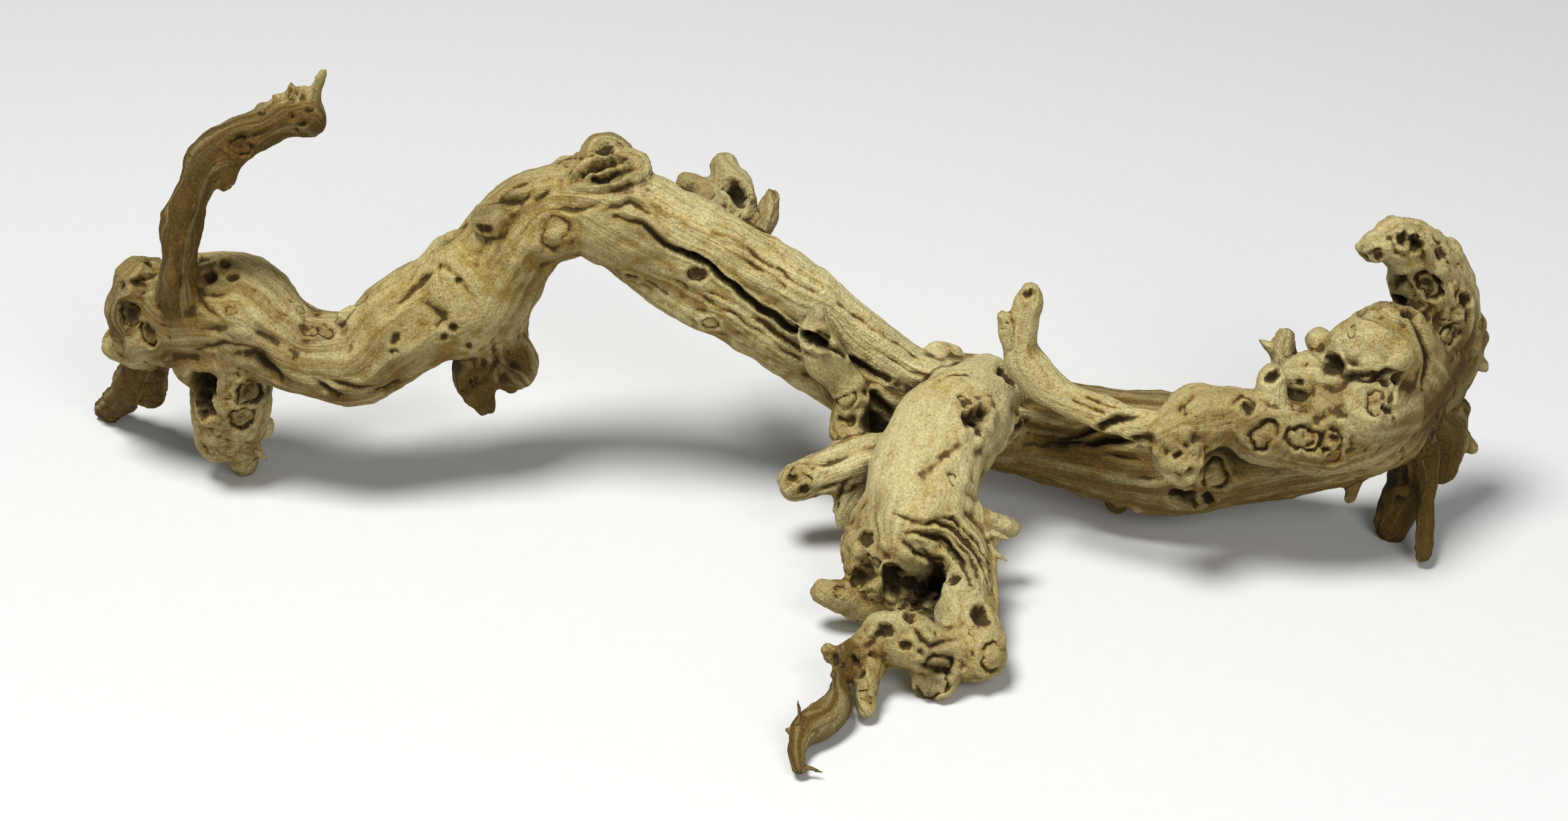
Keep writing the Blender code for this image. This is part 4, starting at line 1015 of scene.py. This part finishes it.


# What the finish reads: the grain's directions, how hollow and how shut in each point is, which the finish
# partly paints as shade, the painted shade in knot holes and cracks, and the rust that sits round the knots.
def markSkin(mesh, lines, knots, cracks, turned):
    skin = Skin(mesh)
    normals = skin.normals()
    fields, weight, owners = grainField(skin, lines, turned)
    store(mesh, "grainA", "FLOAT_VECTOR", fields[0])
    store(mesh, "grainB", "FLOAT_VECTOR", fields[1])
    store(mesh, "grainMix", "FLOAT", weight)
    # Bark brown per limb and in patches, partly painted shade on limbs and parts that lie in shade.
    limbStainsAndShade = np.array([limbStainAndShade.get(name, plainStainAndShade) for name in lines])
    stainAndShade = limbStainsAndShade[owners[0]] * (1 - weight) + limbStainsAndShade[owners[1]] * weight
    stainAndShade = skin.smoothed(stainAndShade[:, None], markSettings["stainRounds"])[:, 0]
    tree = skin.tree()
    for across, up, radius, strength in brownAndShadePatches:
        spot = seenSpot(tree, across, up)
        if spot:
            away = np.linalg.norm(skin.points - spot[0], axis=1) / (radius * mm)
            stainAndShade += strength * np.exp(-away ** 2)
    store(mesh, "stainAndShade", "FLOAT", np.clip(stainAndShade, 0, 1.3))
    depths = np.array([limbGrain.get(name, plainGrain)[0] for name in lines])
    coarse = depths[owners[0]] * (1 - weight) + depths[owners[1]] * weight
    store(mesh, "coarse", "FLOAT", skin.smoothed(coarse[:, None], markSettings["blendRounds"])[:, 0])
    near = skin.smoothed(skin.points, markSettings["nearRounds"])
    far = skin.smoothed(near, markSettings["farRounds"])
    fineHollow = ((near - skin.points) * normals).sum(axis=1) / (markSettings["fineHollow"] * mm)
    wideHollow = ((far - skin.points) * normals).sum(axis=1) / (markSettings["wideHollow"] * mm)
    store(mesh, "hollow", "FLOAT", np.clip(fineHollow + wideHollow, -3, 3))
    rust = np.zeros(len(skin.points))
    # Painted shade: the dark put into knot holes and along cracks, stronger in wider holes and deeper
    # cracks.
    cut = np.zeros(len(skin.points))
    for knot in knots:
        place, normal, radius, depth, rim, plug = knot
        picked = skin.nearby(place, radius * mm * knotShape["reach"])
        q = np.linalg.norm(skin.points[picked] - place, axis=1) / (radius * mm)
        rust[picked] = np.maximum(rust[picked], np.exp(-(q / markSettings["rustSpread"]) ** 2))
        hole = knotProfile(skin.points[picked], normals[picked], knot)[0]
        hole = hole * min(1.0, 0.45 + 0.06 * radius) * (1 - 0.4 * (plug > 0.5))
        cut[picked] = np.maximum(cut[picked], hole)
    for crack in cracks:
        picked, q, taper, out = crackProfile(skin, crack, abs(crack[1]) + 3)
        if len(picked) and crack[1] > 0:
            line = np.exp(-(q / markSettings["crackSpread"]) ** 2) * taper * min(1.0, crack[1] / 4)
            cut[picked] = np.maximum(cut[picked], line)
    store(mesh, "rust", "FLOAT", rust)
    store(mesh, "cut", "FLOAT", cut)
    store(mesh, "shade", "FLOAT", shutIn(skin, normals))
    print("finish marked")


# How much of the sky each point misses, from 0 in the open to 1 deep inside. The finish darkens by it as
# painted shade.
def shutIn(skin, normals):
    count = markSettings["shadeRays"]
    reach = markSettings["shadeReach"] * mm
    lift = markSettings["shadeLift"] * mm
    lean = markSettings["shadeLean"]
    tree = skin.tree()
    noise.seed_set(markSettings["shadeSeed"])
    directions = [noise.random_unit_vector() for _ in range(count)]
    blocked = np.zeros(len(skin.points))
    for index, (point, normal) in enumerate(zip(skin.points.tolist(), normals.tolist())):
        facing = Vector(normal)
        start = Vector(point) + facing * lift
        for direction in directions:
            way = (direction + facing * lean).normalized()
            if tree.ray_cast(start, way, reach)[0] is not None:
                blocked[index] += 1
    return skin.smoothed((blocked / count)[:, None], 2)[:, 0]


# A value in a material's nodes, so that a formula is written as one.
class Signal:
    def __init__(self, tree, socket):
        self.tree = tree
        self.socket = socket

    # Adds any node: its settings first, then the values or links of its sockets.
    def node(self, kind, settings, sockets, output=0):
        made = self.tree.nodes.new(kind)
        for name, value in settings.items():
            setattr(made, name, value)
        for name, value in sockets.items():
            if isinstance(value, Signal):
                self.tree.links.new(value.socket, made.inputs[name])
            else:
                made.inputs[name].default_value = value
        return Signal(self.tree, made.outputs[output])

    def math(self, operation, first, second=0.0):
        return self.node("ShaderNodeMath", {"operation": operation}, {0: first, 1: second})

    def __add__(self, other):
        return self.math("ADD", self, other)

    def __radd__(self, other):
        return self.math("ADD", other, self)

    def __sub__(self, other):
        return self.math("SUBTRACT", self, other)

    def __rsub__(self, other):
        return self.math("SUBTRACT", other, self)

    def __mul__(self, other):
        return self.math("MULTIPLY", self, other)

    def __rmul__(self, other):
        return self.math("MULTIPLY", other, self)

    def ramp(self, low, high, start=0.0, end=1.0):
        settings = {"interpolation_type": "SMOOTHSTEP", "clamp": True}
        return self.node("ShaderNodeMapRange", settings,
                         {"Value": self, "From Min": low, "From Max": high, "To Min": start, "To Max": end})

    def stretched(self, x, y, z):
        return self.node("ShaderNodeVectorMath", {"operation": "MULTIPLY"}, {0: self, 1: (x, y, z)})

    def speckle(self, scale, detail=2.0, roughness=0.5):
        return self.node("ShaderNodeTexNoise", {"noise_dimensions": "3D"},
                         {"Vector": self, "Scale": scale, "Detail": detail, "Roughness": roughness})

    def attribute(self, name, output):
        return self.node("ShaderNodeAttribute", {"attribute_name": name}, {}, output)

    def blend(self, first, second):
        settings = {"data_type": "RGBA", "clamp_factor": True}
        return self.node("ShaderNodeMix", settings, {0: self, 6: first, 7: second}, 2)

    def between(self, first, second):
        return self.node("ShaderNodeMix", {"data_type": "FLOAT"}, {0: self, 2: first, 3: second})


woodFinish = {
    "pale": (0.54, 0.47, 0.235, 1.0),
    "straw": (0.43, 0.337, 0.108, 1.0),
    "tan": (0.30, 0.194, 0.046, 1.0),
    "ochre": (0.19, 0.10, 0.022, 1.0),
    "bark": (0.125, 0.072, 0.013, 1.0),
    "shadeSide": (0.22, 0.148, 0.032, 1.0),
    # dark: painted shade in shut-in places, deep hollows, knot holes and cracks, and the darkest bark.
    "dark": (0.026, 0.018, 0.006, 1.0),
    "roughness": 0.86,
    "specular": 0.16,
    "fibre": (1.3, 26.0),    # mm across and along the grain
    "strand": (3.0, 60.0),
    "streak": (6.0, 130.0),
    "split": (7.0, 75.0),
    "patchScale": 17.0,      # to the metre
    "blotchScale": 60.0,
    "dotScale": 210.0,
    "gritScale": 300.0,
    "stippleScale": 620.0,
}

# How much each pattern lifts the surface, in mm, and how much it lightens or darkens the colour.
woodBump = {
    "fibre": 1.1, "strand": 2.2, "streak": 1.5, "crack": 0.4, "stipple": 1.2, "grit": 1.5, "blotch": 1.6,
    "dot": 0.35,
}
woodTone = {"stipple": 1.5, "grit": 0.6, "strand": 1.1}


def blastedWood():
    material = bpy.data.materials.new("blastedWood")
    material.use_nodes = True
    tree = material.node_tree
    shader = tree.nodes["Principled BSDF"]
    start = Signal(tree, None)
    place = start.node("ShaderNodeTexCoord", {}, {}, 3)
    hollow = start.attribute("hollow", 2)
    shade = start.attribute("shade", 2)
    rust = start.attribute("rust", 2)
    cut = start.attribute("cut", 2)
    stainAndShade = start.attribute("stainAndShade", 2)
    coarse = start.attribute("coarse", 2)
    weight = start.attribute("grainMix", 2)
    grains = [start.attribute("grainA", 1), start.attribute("grainB", 1)]

    def alongGrain(size, detail, roughness):
        across, along = (1000.0 / part for part in woodFinish[size])
        parts = [grain.stretched(across, across, along).speckle(1.0, detail, roughness) for grain in grains]
        return weight.between(*parts)

    fibres = alongGrain("fibre", 2.0, 0.6)
    strands = alongGrain("strand", 2.0, 0.6)
    streaks = alongGrain("streak", 3.0, 0.6)
    splits = alongGrain("split", 1.0, 0.5) - 0.5
    patches = place.speckle(woodFinish["patchScale"], 3.0, 0.55)
    blotches = place.speckle(woodFinish["blotchScale"], 3.0, 0.6)
    stipple = place.speckle(woodFinish["stippleScale"], 3.0, 0.7)
    grit = place.speckle(woodFinish["gritScale"], 3.0, 0.7)
    cells = {"Vector": place, "Scale": woodFinish["dotScale"]}
    dots = start.node("ShaderNodeTexVoronoi", {"feature": "F1"}, cells).ramp(0.10, 0.22, 1.0, 0.0)
    dots = dots * blotches.ramp(0.46, 0.56)
    cracks = splits.math("ABSOLUTE", splits).ramp(0.004, 0.020, 1.0, 0.0)
    cracks = cracks * patches.ramp(0.48, 0.58) * coarse

    base = patches.ramp(0.38, 0.64).blend(woodFinish["pale"], woodFinish["straw"])
    base = (streaks.ramp(0.47, 0.68) * coarse.ramp(0.1, 0.8, 0.2, 0.85)).blend(base, woodFinish["tan"])
    base = (blotches.ramp(0.52, 0.72) * 0.6).blend(base, woodFinish["tan"])
    base = (fibres.ramp(0.48, 0.74) * coarse.ramp(0.1, 0.7, 0.25, 0.6)).blend(base, woodFinish["tan"])
    # Painted shade: surfaces that face down are blended towards the shadeSide colour.
    facing = start.node("ShaderNodeNewGeometry", {}, {}, 1)
    upward = start.node("ShaderNodeSeparateXYZ", {}, {0: facing}, 2)
    base = upward.ramp(0.55, -0.75, 0.0, 0.8).blend(base, woodFinish["shadeSide"])
    base = (hollow.ramp(-0.2, -1.8) * 0.55).blend(base, woodFinish["pale"])
    # Bark brown along the grain, partly painted shade.
    base = (stainAndShade * streaks.ramp(0.34, 0.60, 0.45, 1.1)).blend(base, woodFinish["bark"])
    # Darkest where the stain is strongest: partly dark bark, partly painted shade on the legs and canes.
    base = (stainAndShade.ramp(0.75, 1.15) * 0.4).blend(base, woodFinish["dark"])
    # Mild hollows turn ochre: partly the rust brown of the crevices, partly painted shade.
    base = (hollow.ramp(0.2, 2.0) * 0.65).blend(base, woodFinish["ochre"])
    base = (rust * blotches.ramp(0.42, 0.60) * 0.5).blend(base, woodFinish["ochre"])
    base = (dots * 0.6).blend(base, woodFinish["ochre"])
    base = (cracks * 0.6).blend(base, woodFinish["ochre"])
    # Painted shade: points shut in from the sky are darkened.
    base = shade.ramp(0.27, 0.82, 0.0, 0.92).blend(base, woodFinish["dark"])
    # Painted shade: deep hollows are darkened.
    base = (hollow.ramp(1.2, 2.7) * 0.75).blend(base, woodFinish["dark"])
    # Painted shade: knot holes and cracks are filled with dark.
    base = (cut.ramp(0.2, 1.0) * 0.85).blend(base, woodFinish["dark"])
    tone = (stipple - 0.5) * woodTone["stipple"] + (grit - 0.5) * woodTone["grit"]
    tone = tone + (strands - 0.5) * (coarse * woodTone["strand"]) + 1.0
    tint = start.node("ShaderNodeCombineXYZ", {}, {0: tone, 1: tone, 2: tone})
    colour = start.node("ShaderNodeMix", {"data_type": "RGBA", "blend_type": "MULTIPLY"},
                        {0: 1.0, 6: base, 7: tint}, 2)
    grained = fibres * woodBump["fibre"] + strands * woodBump["strand"] + streaks * woodBump["streak"]
    grained = grained - cracks * woodBump["crack"]
    height = grained * coarse.ramp(0.0, 0.9, 0.25, 1.0) + stipple * woodBump["stipple"]
    height = height + grit * woodBump["grit"] + blotches * woodBump["blotch"] - dots * woodBump["dot"]
    bump = start.node("ShaderNodeBump", {}, {"Strength": 1.0, "Distance": mm, "Height": height})
    rough = woodFinish["roughness"] + (fibres - 0.5) * 0.15
    for name, value in {"Base Color": colour, "Normal": bump, "Roughness": rough}.items():
        tree.links.new(value.socket, shader.inputs[name])
    shader.inputs["Specular IOR Level"].default_value = woodFinish["specular"]
    return material


floorFinish = {
    "colour": (0.66, 0.66, 0.65, 1.0),
    "shade": (0.63, 0.63, 0.62, 1.0),
    "grainScale": 90.0,
    "roughness": 0.9,
    "size": 16.0,
}


def makeFloor():
    mesh = bpy.data.meshes.new("floor")
    bm = bmesh.new()
    bmesh.ops.create_grid(bm, x_segments=1, y_segments=1, size=floorFinish["size"] / 2)
    bm.to_mesh(mesh)
    bm.free()
    floor = bpy.data.objects.new("floor", mesh)
    bpy.context.scene.collection.objects.link(floor)
    material = bpy.data.materials.new("paleFloor")
    material.use_nodes = True
    tree = material.node_tree
    start = Signal(tree, None)
    grain = start.node("ShaderNodeTexCoord", {}, {}, 3).speckle(floorFinish["grainScale"], 3.0)
    colour = grain.blend(floorFinish["colour"], floorFinish["shade"])
    shader = tree.nodes["Principled BSDF"]
    tree.links.new(colour.socket, shader.inputs["Base Color"])
    shader.inputs["Roughness"].default_value = floorFinish["roughness"]
    mesh.materials.append(material)


studio = {
    "key": {"place": (-0.8, -0.75, 3.5), "size": 1.3, "power": 165.0},
    "side": {"place": (0.9, -1.9, 1.6), "size": 1.2, "power": 21.0},
    "horizon": (0.68, 0.68, 0.67, 1.0),
    "zenith": (0.10, 0.10, 0.10, 1.0),
    "aim": (0.0, 0.0, 0.1),
}


def makeStudio():
    for name in ("key", "side"):
        settings = studio[name]
        light = bpy.data.lights.new(name + "Light", "AREA")
        light.shape = "DISK"
        light.size = settings["size"]
        light.energy = settings["power"]
        lamp = bpy.data.objects.new(name + "Light", light)
        lamp.location = settings["place"]
        away = Vector(studio["aim"]) - lamp.location
        lamp.rotation_euler = away.to_track_quat("-Z", "Y").to_euler()
        bpy.context.scene.collection.objects.link(lamp)
    world = bpy.data.worlds.new("studioWorld")
    world.use_nodes = True
    tree = world.node_tree
    start = Signal(tree, None)
    height = start.node("ShaderNodeSeparateXYZ", {}, {0: start.node("ShaderNodeTexCoord", {}, {}, 0)}, 2)
    colour = height.ramp(0.0, 0.6).blend(studio["horizon"], studio["zenith"])
    sky = tree.nodes["Background"]
    tree.links.new(colour.socket, sky.inputs["Color"])
    bpy.context.scene.world = world
    bpy.context.scene.view_settings.view_transform = "Standard"


def makeCamera():
    camera = bpy.data.cameras.new("camera")
    camera.sensor_width = eyeSettings["sensor"]
    camera.lens = eyeSettings["sensor"] * eyeSettings["distance"] / eyeSettings["pictureWidth"]
    camera.clip_start = 0.01
    item = bpy.data.objects.new("camera", camera)
    item.location = eyePoint()
    aim = Vector(placed(0.0, 0.0, 0.0)[0])
    item.rotation_euler = (aim - item.location).to_track_quat("-Z", "Y").to_euler()
    bpy.context.scene.collection.objects.link(item)
    bpy.context.scene.camera = item


makeCamera()
makeStudio()
makeFloor()
print("studio ready")
fineSkin, grainLines, allMounds = makeSkin()
allKnots, allCracks, turnedKnots = carveSkin(fineSkin, grainLines, allMounds)
woodMesh = finishMesh(fineSkin)
markSkin(woodMesh, grainLines, allKnots, allCracks, turnedKnots)
wood = bpy.data.objects.new("grapevineWood", woodMesh)
bpy.context.scene.collection.objects.link(wood)
woodMesh.materials.clear()
woodMesh.materials.append(blastedWood())
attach(wood, "root")
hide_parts("grapevine")
